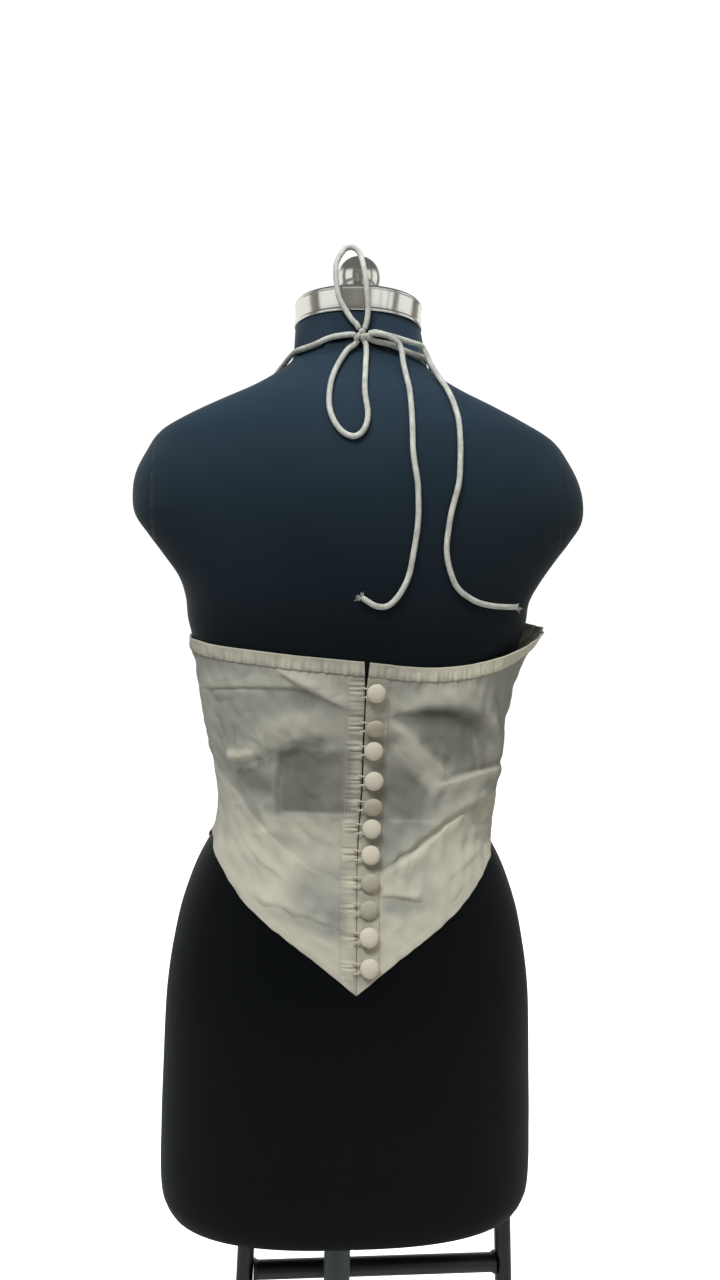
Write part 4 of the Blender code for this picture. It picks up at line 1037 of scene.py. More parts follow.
# How solid the cotton looks, with painted light and shade laid over it: 1 where it is doubled and
# cream, less where one thin layer lies close on the black form and lets it show. The patches lighten
# and darken the cloth partly for the form showing through and partly as painted shade and painted
# light of the folds and of the sides, and each crease adds painted shade in its trough and painted
# light on its ridge. Each patch is (angle, height, half width, half height, edge, tilt, change), with
# sizes in millimetres and the tilt in degrees.
Patch = namedtuple("Patch", "angle height wide high edge tilt change")
SEE_THROUGH_AND_PAINTED_SHADE_PATCHES = [
    Patch(-26, 1.0110, 31, 27, 4, 0, -0.33),
    Patch(-13, 1.0100, 11, 16, 5, 0, 0.10),
    Patch(-52, 1.0110, 26, 9, 6, -16, -0.22),
    Patch(-57, 1.0275, 18, 8, 3, 4, 0.30),
    Patch(-22, 1.0775, 24, 8, 6, -26, -0.18),
    Patch(-17, 1.0945, 22, 7, 6, -16, 0.10),
    Patch(-26, 1.0560, 34, 8, 8, 16, 0.16),
    Patch(-27, 1.0440, 16, 5, 4, 10, -0.18),
    Patch(-30, 0.9755, 40, 8, 5, 0, 0.20),
    Patch(-75, 1.0500, 16, 50, 12, 0, 0.14),
    Patch(-16, 0.9130, 30, 17, 12, -24, -0.32),
    Patch(-20, 0.9560, 27, 15, 8, -8, 0.26),
    Patch(-8, 0.8990, 10, 8, 6, 0, -0.12),
    Patch(46, 1.0520, 36, 25, 9, -4, -0.22),
    Patch(42, 1.0715, 40, 5, 4, -2, -0.12),
    Patch(31, 1.0245, 30, 7, 5, -44, 0.34),
    Patch(54, 1.0070, 26, 6, 5, 12, 0.28),
    Patch(23, 1.0030, 20, 20, 9, -22, -0.26),
    Patch(67, 1.0270, 10, 14, 5, -10, 0.22),
    Patch(46, 1.0895, 44, 5, 5, 0, 0.10),
    Patch(26, 0.9640, 22, 12, 8, 26, -0.10),
    Patch(60, 0.9820, 7, 6, 4, 0, -0.22),
    Patch(17, 0.9080, 13, 2, 5, -4, -0.30),
    Patch(25, 0.9240, 24, 18, 10, 12, -0.14),
]
DOUBLED_FROM = [
    (-90, 1.0300),
    (-68, 1.0097),
    (-59, 0.9919),
    (-52, 0.9766),
    (-38, 0.9558),
    (-23, 0.9388),
    (-6, 0.9262),
    (0, 0.9230),
    (12, 0.9380),
    (21, 0.9490),
    (32, 0.9620),
    (42, 0.9750),
    (50, 0.9840),
    (59, 0.9920),
    (72, 0.9965),
    (90, 0.9990),
]
SINGLE_TONE = 0.47
DOUBLED_TONE = 0.375
# Painted light and shade: how much a crease's rise lightens its ridge and its sink darkens its trough.
CREASE_PAINTED_SHADE_AND_LIGHT = 70


def see_through_and_painted_shade(angle, height, creases=CREASES):
    across, up = unrolled(angle, height)
    line = np.interp(angle, [turn[0] for turn in DOUBLED_FROM], [turn[1] for turn in DOUBLED_FROM])
    soft = 2 * MM + 5 * MM * (angle < 0)
    doubled = 1 - ramp(height - line, -soft, soft)
    tone = SINGLE_TONE + DOUBLED_TONE * doubled - 0.05 * ramp(-angle, 2, 8) * doubled
    for patch in SEE_THROUGH_AND_PAINTED_SHADE_PATCHES:
        middle_x, middle_y = unrolled(np.array(float(patch.angle)), np.array(patch.height))
        lean = math.radians(patch.tilt)
        x = (across - middle_x) * math.cos(lean) + (up - middle_y) * math.sin(lean)
        y = (up - middle_y) * math.cos(lean) - (across - middle_x) * math.sin(lean)
        inside = 1 - ramp(np.abs(x), (patch.wide - patch.edge) * MM, (patch.wide + patch.edge) * MM)
        inside = inside * (1 - ramp(np.abs(y), (patch.high - patch.edge) * MM, (patch.high + patch.edge) * MM))
        tone += patch.change * inside
    # Painted shade in each crease's trough and painted light on its ridge.
    for crease in creases:
        if crease.line[0][0] * float(np.mean(angle)) > 0:
            tone += CREASE_PAINTED_SHADE_AND_LIGHT * crease_rise(crease, across, up)
    return np.clip(tone, 0, 1)


THREAD_PITCH = 0.62 * MM
MOTTLE = 0.19
SLUB = 0.085
TONE_SHIFT = 0.180


def cotton(name, thin, middle, thick, even=None):
    """Plain-weave cotton on the piece's own UV map. Its colour runs from thin cloth on black to
    doubled cloth, by the piece's tone attribute or at one even tone. The tone attribute also carries
    painted light and painted shade."""
    material, tree, shader = new_material(name, thick, 0.86)
    cloth_at = tree.nodes.new("ShaderNodeUVMap").outputs["UV"]
    warp = stripes(tree, cloth_at, "X", THREAD_PITCH)
    weft = stripes(tree, cloth_at, "Y", THREAD_PITCH)
    slubs = sum_of(
        tree,
        noise(tree, cloth_at, 900, 2, (1, 0.035, 1)),
        noise(tree, cloth_at, 900, 2, (0.035, 1, 1)),
    )
    mottle = noise(tree, cloth_at, 38, 4)
    if even is None:
        tone = tree.nodes.new("ShaderNodeAttribute")
        tone.attribute_name = "tone"
        level = tone.outputs["Fac"]
    else:
        level = tree.nodes.new("ShaderNodeValue").outputs[0]
        level.default_value = even
    level = sum_of(tree, level, mottle, MOTTLE)
    level = sum_of(tree, level, slubs, SLUB)
    shift = tree.nodes.new("ShaderNodeMath")
    shift.operation = "SUBTRACT"
    shift.inputs[1].default_value = TONE_SHIFT
    tree.links.new(level, shift.inputs[0])
    colour = ramp_between(tree, shift.outputs[0], [(0.0, thin), (0.5, middle), (1.0, thick)])
    tree.links.new(colour, shader.inputs["Base Color"])
    weave = sum_of(tree, sum_of(tree, warp, weft), slubs, 1.6)
    raised(tree, shader, weave, 0.32, 0.16 * MM)
    shader.inputs["Specular IOR Level"].default_value = 0.25
    shader.inputs["Sheen Weight"].default_value = 0.08
    shader.inputs["Sheen Roughness"].default_value = 0.6
    return material


THIN_COTTON = (0.092, 0.087, 0.066)
MIDDLE_COTTON = (0.312, 0.299, 0.246)
THICK_COTTON = (0.572, 0.522, 0.398)
panel_cotton = cotton("thin_cotton", THIN_COTTON, MIDDLE_COTTON, THICK_COTTON)
trim_cotton = cotton("doubled_cotton", (0.100, 0.091, 0.067), (0.325, 0.301, 0.236), (0.595, 0.543, 0.412))


def thickened(piece, thick):
    """Makes a wall of a surface, half to each side of it."""
    wall = piece.modifiers.new("thickness", "SOLIDIFY")
    wall.thickness = thick
    wall.offset = 0


CLOTH_LIFT = 0.6 * MM
CLOTH_THICK = 0.65 * MM
BACK_COLUMNS = 190
BACK_GRID_ROWS = 230
for side_name, side in (("left", -1), ("right", 1)):

    def place_back(u, v, side=side):
        return back_surface(side, u if side > 0 else 1 - u, v, CLOTH_LIFT)

    def tone_back(u, v, side=side):
        return see_through_and_painted_shade(*back_spot(side, u if side > 0 else 1 - u, v))

    name = "cotton_back_" + side_name
    mesh = laid_grid(name, BACK_COLUMNS, BACK_GRID_ROWS, place_back, (0.158, 0.21), tone_back)
    back = shown(name, mesh, panel_cotton, ["back_" + side_name])
    thickened(back, CLOTH_THICK)

# The fronts: two panels from the side seams over the bust to a seam at the centre front, each
# drawn up to a point where the halter cord is sewn on. The photograph doesn't show them.
FrontEdge = namedtuple("FrontEdge", "angle hem top_left top_right")
FRONT_EDGES = [
    FrontEdge(88, 0.9572, 1.1318, 1.1440),
    FrontEdge(104, 0.9430, 1.1380, 1.1490),
    FrontEdge(120, 0.9230, 1.1600, 1.1620),
    FrontEdge(133, 0.9070, 1.2000, 1.2000),
    FrontEdge(141, 0.8970, 1.2330, 1.2330),
    FrontEdge(145, 0.8920, 1.2400, 1.2400),
    FrontEdge(149, 0.8870, 1.2360, 1.2360),
    FrontEdge(158, 0.8780, 1.2050, 1.2050),
    FrontEdge(168, 0.8700, 1.1750, 1.1750),
    FrontEdge(180, 0.8640, 1.1620, 1.1620),
]
FRONT_CREASES = [
    Crease(1.8, 7, 9, [(-134, 1.098), (-122, 1.075), (-110, 1.052)]),
    Crease(-1.3, 5, 7, [(-140, 1.085), (-126, 1.058), (-112, 1.036)]),
    Crease(1.6, 8, 5, [(-152, 1.022), (-136, 1.004), (-118, 0.985)]),
    Crease(-1.2, 4, 6, [(-148, 1.010), (-132, 0.990), (-116, 0.972)]),
    Crease(1.2, 4, 5, [(-146, 1.215), (-143, 1.185), (-139, 1.160)]),
    Crease(-0.9, 3, 4, [(-149, 1.205), (-150, 1.175), (-154, 1.150)]),
    Crease(1.4, 6, 4, [(-172, 0.945), (-156, 0.938), (-140, 0.950)]),
    Crease(-1.0, 5, 4, [(-104, 1.010), (-98, 1.040), (-95, 1.070)]),
    Crease(1.7, 7, 9, [(106, 1.055), (118, 1.078), (130, 1.098)]),
    Crease(-1.2, 5, 6, [(108, 1.036), (124, 1.060), (138, 1.082)]),
    Crease(1.5, 6, 6, [(120, 1.008), (136, 0.998), (154, 0.984)]),
    Crease(-1.1, 5, 4, [(116, 0.975), (134, 0.985), (150, 0.972)]),
    Crease(1.1, 4, 5, [(139, 1.158), (143, 1.186), (146, 1.214)]),
    Crease(-0.8, 3, 4, [(153, 1.152), (150, 1.178), (148, 1.204)]),
    Crease(1.2, 5, 4, [(142, 0.945), (158, 0.930), (173, 0.940)]),
    Crease(-1.0, 4, 5, [(96, 1.075), (99, 1.045), (103, 1.015)]),
]
SEAM_APART = 0.35


def front_spot(side, out, up):
    """(angle, height) on a front: out runs from the side seam to the centre front, up from hem to top."""
    start, end = SIDE_SEAM + SEAM_APART, 180 - SEAM_APART
    angle = start + (end - start) * out
    low = smooth_value(FRONT_EDGES, "hem", angle)
    high = smooth_value(FRONT_EDGES, "top_right" if side > 0 else "top_left", angle)
    return side * angle, low + (high - low) * up


def front_surface(side, out, up, lift):
    angle, height = front_spot(side, out, up)
    across, _ = unrolled(angle, height)
    _, hem = front_spot(side, out, 0 * up)
    _, top = front_spot(side, out, 0 * up + 1)
    rise = cloth_lift(angle, height, FRONT_CREASES)
    rise += HEM_RISE * (1 - ramp(height - hem, HEM_WIDTH * 0.8, HEM_WIDTH))
    under_band = np.clip(top - BAND_WIDTH - height, 0, 1)
    rise += 0.6 * MM * gathers(across, (1.4 * side, 0.3, 2.2)) * bell(under_band, 9 * MM) * (height < top - BAND_WIDTH)
    return around(angle, form_radius(angle, height) + rise + lift, height)


FRONT_LINE_LOW = 0.958


def front_tone(angle, height):
    across, up = unrolled(angle, height)
    side_line = np.where(angle < 0, DOUBLED_FROM[0][1], DOUBLED_FROM[-1][1])
    line = side_line - (side_line - FRONT_LINE_LOW) * ramp(np.abs(angle), 90, 180)
    tone = SINGLE_TONE + DOUBLED_TONE * (1 - ramp(height - line, -5 * MM, 5 * MM))
    tone += 0.45 * ramp(height, 1.085, 1.115) * bell(angle - 94, 13)
    # Painted shade in each crease's trough and painted light on its ridge.
    for crease in FRONT_CREASES:
        if crease.line[0][0] * float(np.mean(angle)) > 0:
            tone += CREASE_PAINTED_SHADE_AND_LIGHT * crease_rise(crease, across, up)
    return np.clip(tone, 0, 1)


FRONT_COLUMNS = 110
FRONT_GRID_ROWS = 150
for side_name, side in (("left", -1), ("right", 1)):

    def place_front(u, v, side=side):
        return front_surface(side, u if side > 0 else 1 - u, v, CLOTH_LIFT)

    def tone_front(u, v, side=side):
        return front_tone(*front_spot(side, u if side > 0 else 1 - u, v))

    name = "cotton_front_" + side_name
    mesh = laid_grid(name, FRONT_COLUMNS, FRONT_GRID_ROWS, place_front, (0.19, 0.24), tone_front)
    front = shown(name, mesh, panel_cotton, ["front_" + side_name])
    thickened(front, CLOTH_THICK)

# The band along the upper edge: a strip of the same cotton, doubled, turned over the edge and
# sewn down along its foot, where the stitching draws it into small uneven puckers.
BAND_LIFT = 1.55 * MM
BAND_THICK = 0.8 * MM
BAND_PUCKER = 1.0 * MM


def band_place(surface, spot, side, starts):
    def place(u, v):
        out = u if side > 0 else 1 - u
        _, low = spot(side, out, 0 * v)
        _, high = spot(side, out, 0 * v + 1)
        up = 1 - (1 - v) * BAND_WIDTH / (high - low)
        angle, height = spot(side, out, up)
        across, _ = unrolled(angle, height)
        pucker = gathers(across, starts) * (0.25 + 0.75 * ramp(1 - v, 0.1, 0.7)) * bell(v - 0.35, 0.55)
        sewn = bell(v, 0.10) * (0.4 + 0.6 * gathers(across * 1.7, starts))
        return surface(side, out, up, BAND_LIFT + BAND_PUCKER * pucker - 0.45 * MM * sewn)

    return place


for side_name, side in (("left", -1), ("right", 1)):
    for part, surface, spot, columns, long in (
        ("back", back_surface, back_spot, 330, 0.158),
        ("front", front_surface, front_spot, 330, 0.19),
    ):
        node = part + "_band_" + side_name
        starts = (1.1 * side, 0.7 + side, 2.9)
        place = band_place(surface, spot, side, starts)

        # Painted light and shade on the band: lighter towards the sides and more so on the right, lighter on the
        # puckers and on the turned top edge, and darker at the sewn foot between the puckers.
        def tone_band(u, v, side=side, spot=spot, starts=starts):
            angle, height = spot(side, u if side > 0 else 1 - u, 0 * v + 0.95)
            across, _ = unrolled(angle, height)
            fold = gathers(across, starts)
            painted_edge_light_and_foot_shade = 0.10 * ramp(v, 0.86, 0.97) - 0.22 * bell(v - 0.10, 0.10) * (1.3 - fold)
            painted_light_to_side = (0.34 + 0.22 * side) * ramp(np.abs(angle), 12, 60)
            return 0.54 + 0.18 * fold * (1 - v) + painted_light_to_side + painted_edge_light_and_foot_shade

        mesh = laid_grid("sewn_" + node, columns, 14, place, (long, BAND_WIDTH), tone_band)
        band = shown("sewn_" + node, mesh, trim_cotton, [node])
        thickened(band, BAND_THICK)

# The opening: a gathered strip with the button loops on the left back's edge, and a flat strip
# under the buttons on the right one's. Each loop draws its strip into a few sharp puckers.
Button = namedtuple("Button", "height across")
BUTTONS = [
    Button(1.0870, 12.4),
    Button(1.0587, 12.5),
    Button(1.0387, 11.5),
    Button(1.0136, 12.0),
    Button(0.9927, 11.6),
    Button(0.9737, 11.0),
    Button(0.9520, 10.4),
    Button(0.9302, 10.0),
    Button(0.9100, 8.6),
    Button(0.8883, 8.6),
    Button(0.8649, 9.0),
]
STRIP_LIFT = 1.5 * MM
STRIP_THICK = 0.8 * MM
STRIP_TOP = 1.1112
STRIP_STEP = 0.9838
pucker_draw = np.random.default_rng(5)
pucker_offsets = pucker_draw.uniform(-1.6, 1.6, (len(BUTTONS), 2)) * MM


def loop_puckers(height, across_share):
    """The ridges and the sharp trough that each loop pulls into its strip."""
    rise = np.zeros(len(height))
    for button, (first, second) in zip(BUTTONS, pucker_offsets):
        below = height - button.height
        rise += 1.15 * MM * bell(below, 5.2 * MM)
        rise -= 1.9 * MM * bell(below - first, 0.9 * MM) * (0.35 + 0.65 * across_share)
        rise -= 1.0 * MM * bell(below - second - 3.6 * MM, 1.0 * MM) * (0.3 + 0.7 * (1 - across_share))
        rise -= 0.8 * MM * bell(below + second + 4.2 * MM, 1.1 * MM) * across_share
    upper_part = 0.35 + 0.65 * ramp(height, STRIP_STEP - 4 * MM, STRIP_STEP + 4 * MM)
    rise += 0.9 * MM * (gathers(height * 1.3, (0.4, 1.9, 3.1)) - 0.5) * upper_part
    return rise


def strip_spot(side, out, up):
    """A place on a strip beside the opening: out is 0 at the opening and 1 at its far edge."""
    width = BUTTON_STAND_WIDTH if side > 0 else PLACKET_WIDTH
    low = smooth_value(BACK_EDGES, "hem", hem_turn(side, out)) + 0.3 * MM
    high = STRIP_TOP - BAND_WIDTH - 0.4 * MM
    height = low + (high - low) * up
    edge = opening_angle(side, height, -0.15 * MM)
    far = opening_angle(side, height, width)
    return edge + (far - edge) * out, height


def strip_surface(side, out, up, lift):
    angle, height = strip_spot(side, out, up)
    tuck = loop_puckers(height, 1 - out) * bell(out - 0.45, 0.62) if side < 0 else 0
    rise = cloth_lift(angle, height, CREASES) + lift + tuck
    return around(angle, form_radius(angle, height) + rise, height)


for node, side, columns in (("loop_placket", -1, 18), ("button_stand", 1, 20)):

    def place_strip(u, v, side=side):
        out = u if side > 0 else 1 - u
        let_down = 0.45 * MM * ramp(out, 0.55, 1) * (1 if side > 0 else 0.6)
        roll = -0.5 * MM * (bell(out, 0.06) + bell(out - 1, 0.06)) - let_down
        edge_stitch = -0.3 * MM * bell(out - 0.13, 0.035)
        return strip_surface(side, out, v, STRIP_LIFT + roll + edge_stitch)

    def tone_strip(u, v, side=side):
        out = u if side > 0 else 1 - u
        _, height = strip_spot(side, out, v)
        tone = 0.60 + 0.14 * (1 - ramp(height, STRIP_STEP - 2 * MM, STRIP_STEP + 1 * MM))
        # Painted light and shade: on the loop strip the puckers' ridges are lighter and their troughs darker.
        if side < 0:
            tone += 190 * loop_puckers(height, 1 - out) - 0.07
        # Painted shadow: on the button stand, a darker band just below each button.
        for button in BUTTONS:
            tone -= 0.12 * bell(height - button.height + 9 * MM, 3.5 * MM) * (side > 0)
        beside = see_through_and_painted_shade(strip_spot(side, 0 * v + 1, v)[0] + 2.0 * side, height)
        merging = ramp(out, 0.25, 0.9) * (1.0 if side > 0 else 0.8)
        return np.clip(tone * (1 - merging) + beside * merging, 0.1, 1)

    mesh = laid_grid("sewn_" + node, columns, 460, place_strip, (PLACKET_WIDTH, 0.26), tone_strip)
    strip = shown("sewn_" + node, mesh, trim_cotton, [node])
    thickened(strip, STRIP_THICK)

# The sewing: short slightly sunk stitches of cream thread along the foot of each band and along
# the edges of the two strips.
STITCH_LONG = 2.1 * MM
STITCH_STEP = 2.9 * MM
STITCH_THICK = 0.42 * MM
thread, thread_tree, thread_shader = new_material("cream_thread", (0.60, 0.56, 0.44), 0.75)
thread_at = thread_tree.nodes.new("ShaderNodeTexCoord").outputs["Object"]
thread_twist = noise(thread_tree, thread_at, 2600, 2)
thread_colours = [(0.35, (0.46, 0.42, 0.32)), (0.7, (0.64, 0.60, 0.48))]
thread_tree.links.new(ramp_between(thread_tree, thread_twist, thread_colours), thread_shader.inputs["Base Color"])


def stitch_row(shape, points):
    """Lays stitches end to end along a line of points."""
    points = np.asarray(points)
    run = np.append(0, np.cumsum(np.linalg.norm(np.diff(points, axis=0), axis=1)))
    start = STITCH_STEP / 2
    while start + STITCH_LONG < run[-1]:
        ends = [
            Vector([np.interp(at, run, points[:, axis]) for axis in range(3)])
            for at in (start, start + STITCH_LONG)
        ]
        along = ends[1] - ends[0]
        turn = along.to_track_quat("Z", "Y").to_matrix().to_4x4()
        size = Matrix.Diagonal((STITCH_THICK, STITCH_THICK, along.length, 1))
        bmesh.ops.create_uvsphere(
            shape,
            u_segments=6,
            v_segments=4,
            radius=0.5,
            matrix=Matrix.Translation((ends[0] + ends[1]) / 2) @ turn @ size,
        )
        start += STITCH_STEP


for side_name, side in (("left", -1), ("right", 1)):
    for part, surface, spot in (("back", back_surface, back_spot), ("front", front_surface, front_spot)):
        rows = bmesh.new()
        out = np.linspace(0.004, 0.996, 400)
        place = band_place(surface, spot, side, (1.1 * side, 0.7 + side, 2.9))
        u = out if side > 0 else 1 - out
        foot_points = place(u, 0 * u + 0.11)
        away_from_axis = foot_points * (1, 1, 0)
        away_from_axis /= np.linalg.norm(away_from_axis, axis=1, keepdims=True)
        stitch_row(rows, foot_points + away_from_axis * BAND_THICK * 0.5)
        mesh = bpy.data.meshes.new("sewing")
        rows.to_mesh(mesh)
        rows.free()
        shown("sewing_" + part + "_band_" + side_name, mesh, thread)
    rows = bmesh.new()
    up = np.linspace(0.01, 0.99, 500)
    for out in (0.13, 0.93):
        share = np.full(len(up), out)
        stitch_row(rows, strip_surface(side, share, up, STRIP_LIFT + STRIP_THICK * 0.45))
    mesh = bpy.data.meshes.new("sewing")
    rows.to_mesh(mesh)
    rows.free()
    shown("sewing_opening_" + side_name, mesh, thread)

# The buttons: low domes covered in the same cotton, each on a short shank, held by a narrow cotton
# loop that comes out from under the left strip's edge and passes round the shank.
SHANK_HEIGHT = 2.7 * MM
SHANK_RADIUS = 1.8 * MM
BUTTON_TALL = 6.7 * MM
LOOP_RADIUS = 0.75 * MM
loop_cotton = cotton("loop_cotton", (0.200, 0.180, 0.130), (0.360, 0.335, 0.260), (0.560, 0.520, 0.410), 0.75)
button_cotton = cotton("button_cotton", (0.300, 0.260, 0.200), (0.470, 0.415, 0.322), (0.665, 0.585, 0.455), 0.80)
# Painted shade: the leaning buttons get this darker copy of the button cotton, for the shade on their tilted faces.
shaded_cotton = cotton(
    "shaded_button_cotton", (0.230, 0.200, 0.150), (0.380, 0.335, 0.250), (0.540, 0.475, 0.360), 0.62
)
button_profile = [
    (0, 6.7),
    (2.0, 6.62),
    (4.0, 6.32),
    (5.5, 5.84),
    (6.7, 5.20),
    (7.5, 4.52),
    (7.9, 3.92),
    (8.0, 3.45),
    (7.8, 3.00),
    (7.3, 2.75),
    (5.5, 2.70),
    (1.8, 2.70),
    (1.8, 0.0),
    (0, 0.0),
]
BUTTON_LEANS = {2: 20, 5: 18, 8: 22, 9: 22}
button_draw = np.random.default_rng(3)


def button_axes(button):
    """The directions across, up and out of the strip where the button is sewn."""
    height = np.array([button.height])
    angle = opening_angle(1, height, (button.across - smooth_value(OPENING, "across", height)) * MM)
    outward = Vector(off_form(angle, height, np.array([MM]))[0] - off_form(angle, height, np.array([0.0]))[0])
    outward.normalize()
    across = Vector((0, 0, 1)).cross(outward).normalized()
    return across, outward.cross(across), outward


def tube_mesh(name, path, radius, sides, relief=None):
    """A tube along closely spaced points, closed to a point at each end, with an optional relief."""
    path = np.asarray(path, float)
    count = len(path)
    along = np.gradient(path, axis=0)
    along /= np.linalg.norm(along, axis=1, keepdims=True)
    first = np.cross(along[0], (0.3, 0.2, 0.93))
    first /= np.linalg.norm(first)
    sideways = [first]
    for i in range(1, count):
        carried = sideways[-1] - along[i] * np.dot(sideways[-1], along[i])
        sideways.append(carried / np.linalg.norm(carried))
    sideways = np.array(sideways)
    upward = np.cross(along, sideways)
    run = np.append(0, np.cumsum(np.linalg.norm(np.diff(path, axis=0), axis=1)))

    def place(u, v):
        at = v * (count - 1)
        low = np.clip(at.astype(int), 0, count - 2)
        share = (at - low)[:, None]
        centre = path[low] * (1 - share) + path[low + 1] * share
        side_way = sideways[low] * (1 - share) + sideways[low + 1] * share
        up_way = upward[low] * (1 - share) + upward[low + 1] * share
        distance = run[low] * (1 - share[:, 0]) + run[low + 1] * share[:, 0]
        turn = u * 2 * math.pi
        end = np.clip(np.minimum(distance, run[-1] - distance) / radius, 0, 1)
        reach = radius * np.sqrt(np.clip(1 - (1 - end) ** 2, 0, 1))
        if relief is not None:
            reach = reach * relief(turn, distance)
        return centre + (side_way * np.cos(turn)[:, None] + up_way * np.sin(turn)[:, None]) * reach[:, None]

    mesh = laid_grid(name, sides, count - 1, place, (2 * math.pi * radius, run[-1]))
    shape = bmesh.new()
    shape.from_mesh(mesh)
    bmesh.ops.remove_doubles(shape, verts=shape.verts, dist=0.000004)
    bmesh.ops.recalc_face_normals(shape, faces=shape.faces)
    shape.to_mesh(mesh)
    shape.free()
    return mesh


def smooth_line(padded, shares):
    """A smooth line through every point but the first and the last, which only steer its ends."""
    dense = []
    for i in range(len(padded) - 3):
        a, b, c, d = padded[i : i + 4]
        for t in shares:
            bend = (c - a) * t + (2 * a - 5 * b + 4 * c - d) * t**2 + (3 * b - a - 3 * c + d) * t**3
            dense.append(b + bend / 2)
    dense.append(padded[-2])
    return np.array(dense)


def even_steps(places, step, fewest):
    """Points at an even step along a line."""
    run = np.append(0, np.cumsum(np.linalg.norm(np.diff(places, axis=0), axis=1)))
    wanted = np.linspace(0, run[-1], max(int(run[-1] / step), fewest))
    return np.stack([np.interp(wanted, run, places[:, axis]) for axis in range(3)], axis=1)


def dense_line(points, step):
    """Points at an even step on a smooth line through a few."""
    points = np.asarray(points, float)
    padded = np.vstack([2 * points[0] - points[1], points, 2 * points[-1] - points[-2]])
    return even_steps(smooth_line(padded, np.arange(0, 1, 1 / 14)), step, 4)


for number, button in enumerate(BUTTONS, start=1):
    low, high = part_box("button_%02d" % number)
    across, upward, outward = button_axes(button)
    seat = (low + high) / 2 - outward * BUTTON_TALL / 2
    swell = 1 + button_draw.uniform(-0.015, 0.015)
    profile = [(radius * MM * swell, height * MM) for radius, height in button_profile]
    mesh = turned("covered_button_%02d" % number, profile, 44)
    spin_by = Matrix.Rotation(button_draw.uniform(0, math.pi), 4, "Z")
    lean = Matrix.Rotation(math.radians(BUTTON_LEANS.get(number, 0)), 4, "X")
    mesh.transform(Matrix.Translation(seat) @ Matrix((across, upward, outward)).transposed().to_4x4() @ lean @ spin_by)
    uv = mesh.uv_layers.new(name="cloth")
    for loop in mesh.loops:
        place = mesh.vertices[loop.vertex_index].co - seat
        uv.data[loop.index].uv = (place.dot(across), place.dot(upward))
    # Painted shade: the leaning buttons take the darker copy of the cotton.
    face_cotton = shaded_cotton if number in BUTTON_LEANS else button_cotton
    shown("covered_button_%02d" % number, mesh, face_cotton, ["button_%02d" % number])
    mesh.set_sharp_from_angle(angle=math.radians(60))
    node = "loop_%02d" % number
    round_shank = SHANK_RADIUS + 0.3 * MM + LOOP_RADIUS
    reach = button.across * MM - float(smooth_value(OPENING, "across", np.array([button.height]))[0]) * MM + 4 * MM
    bend = [(-reach, 1.5 * round_shank), (-reach * 0.5, 1.15 * round_shank), (0, round_shank)]
    for i in range(1, 6):
        turn = math.radians(90 - 180 * i / 6)
        bend.append((round_shank * math.cos(turn), round_shank * math.sin(turn)))
    bend += [(0, -round_shank), (-reach * 0.5, -1.15 * round_shank), (-reach, -1.5 * round_shank)]
    path = [seat + across * sideways + upward * up + outward * SHANK_HEIGHT * 0.5 for sideways, up in bend]
    mesh = tube_mesh("cotton_" + node, dense_line(path, 0.5 * MM), LOOP_RADIUS, 10)
    shown("cotton_" + node, mesh, loop_cotton, [node])

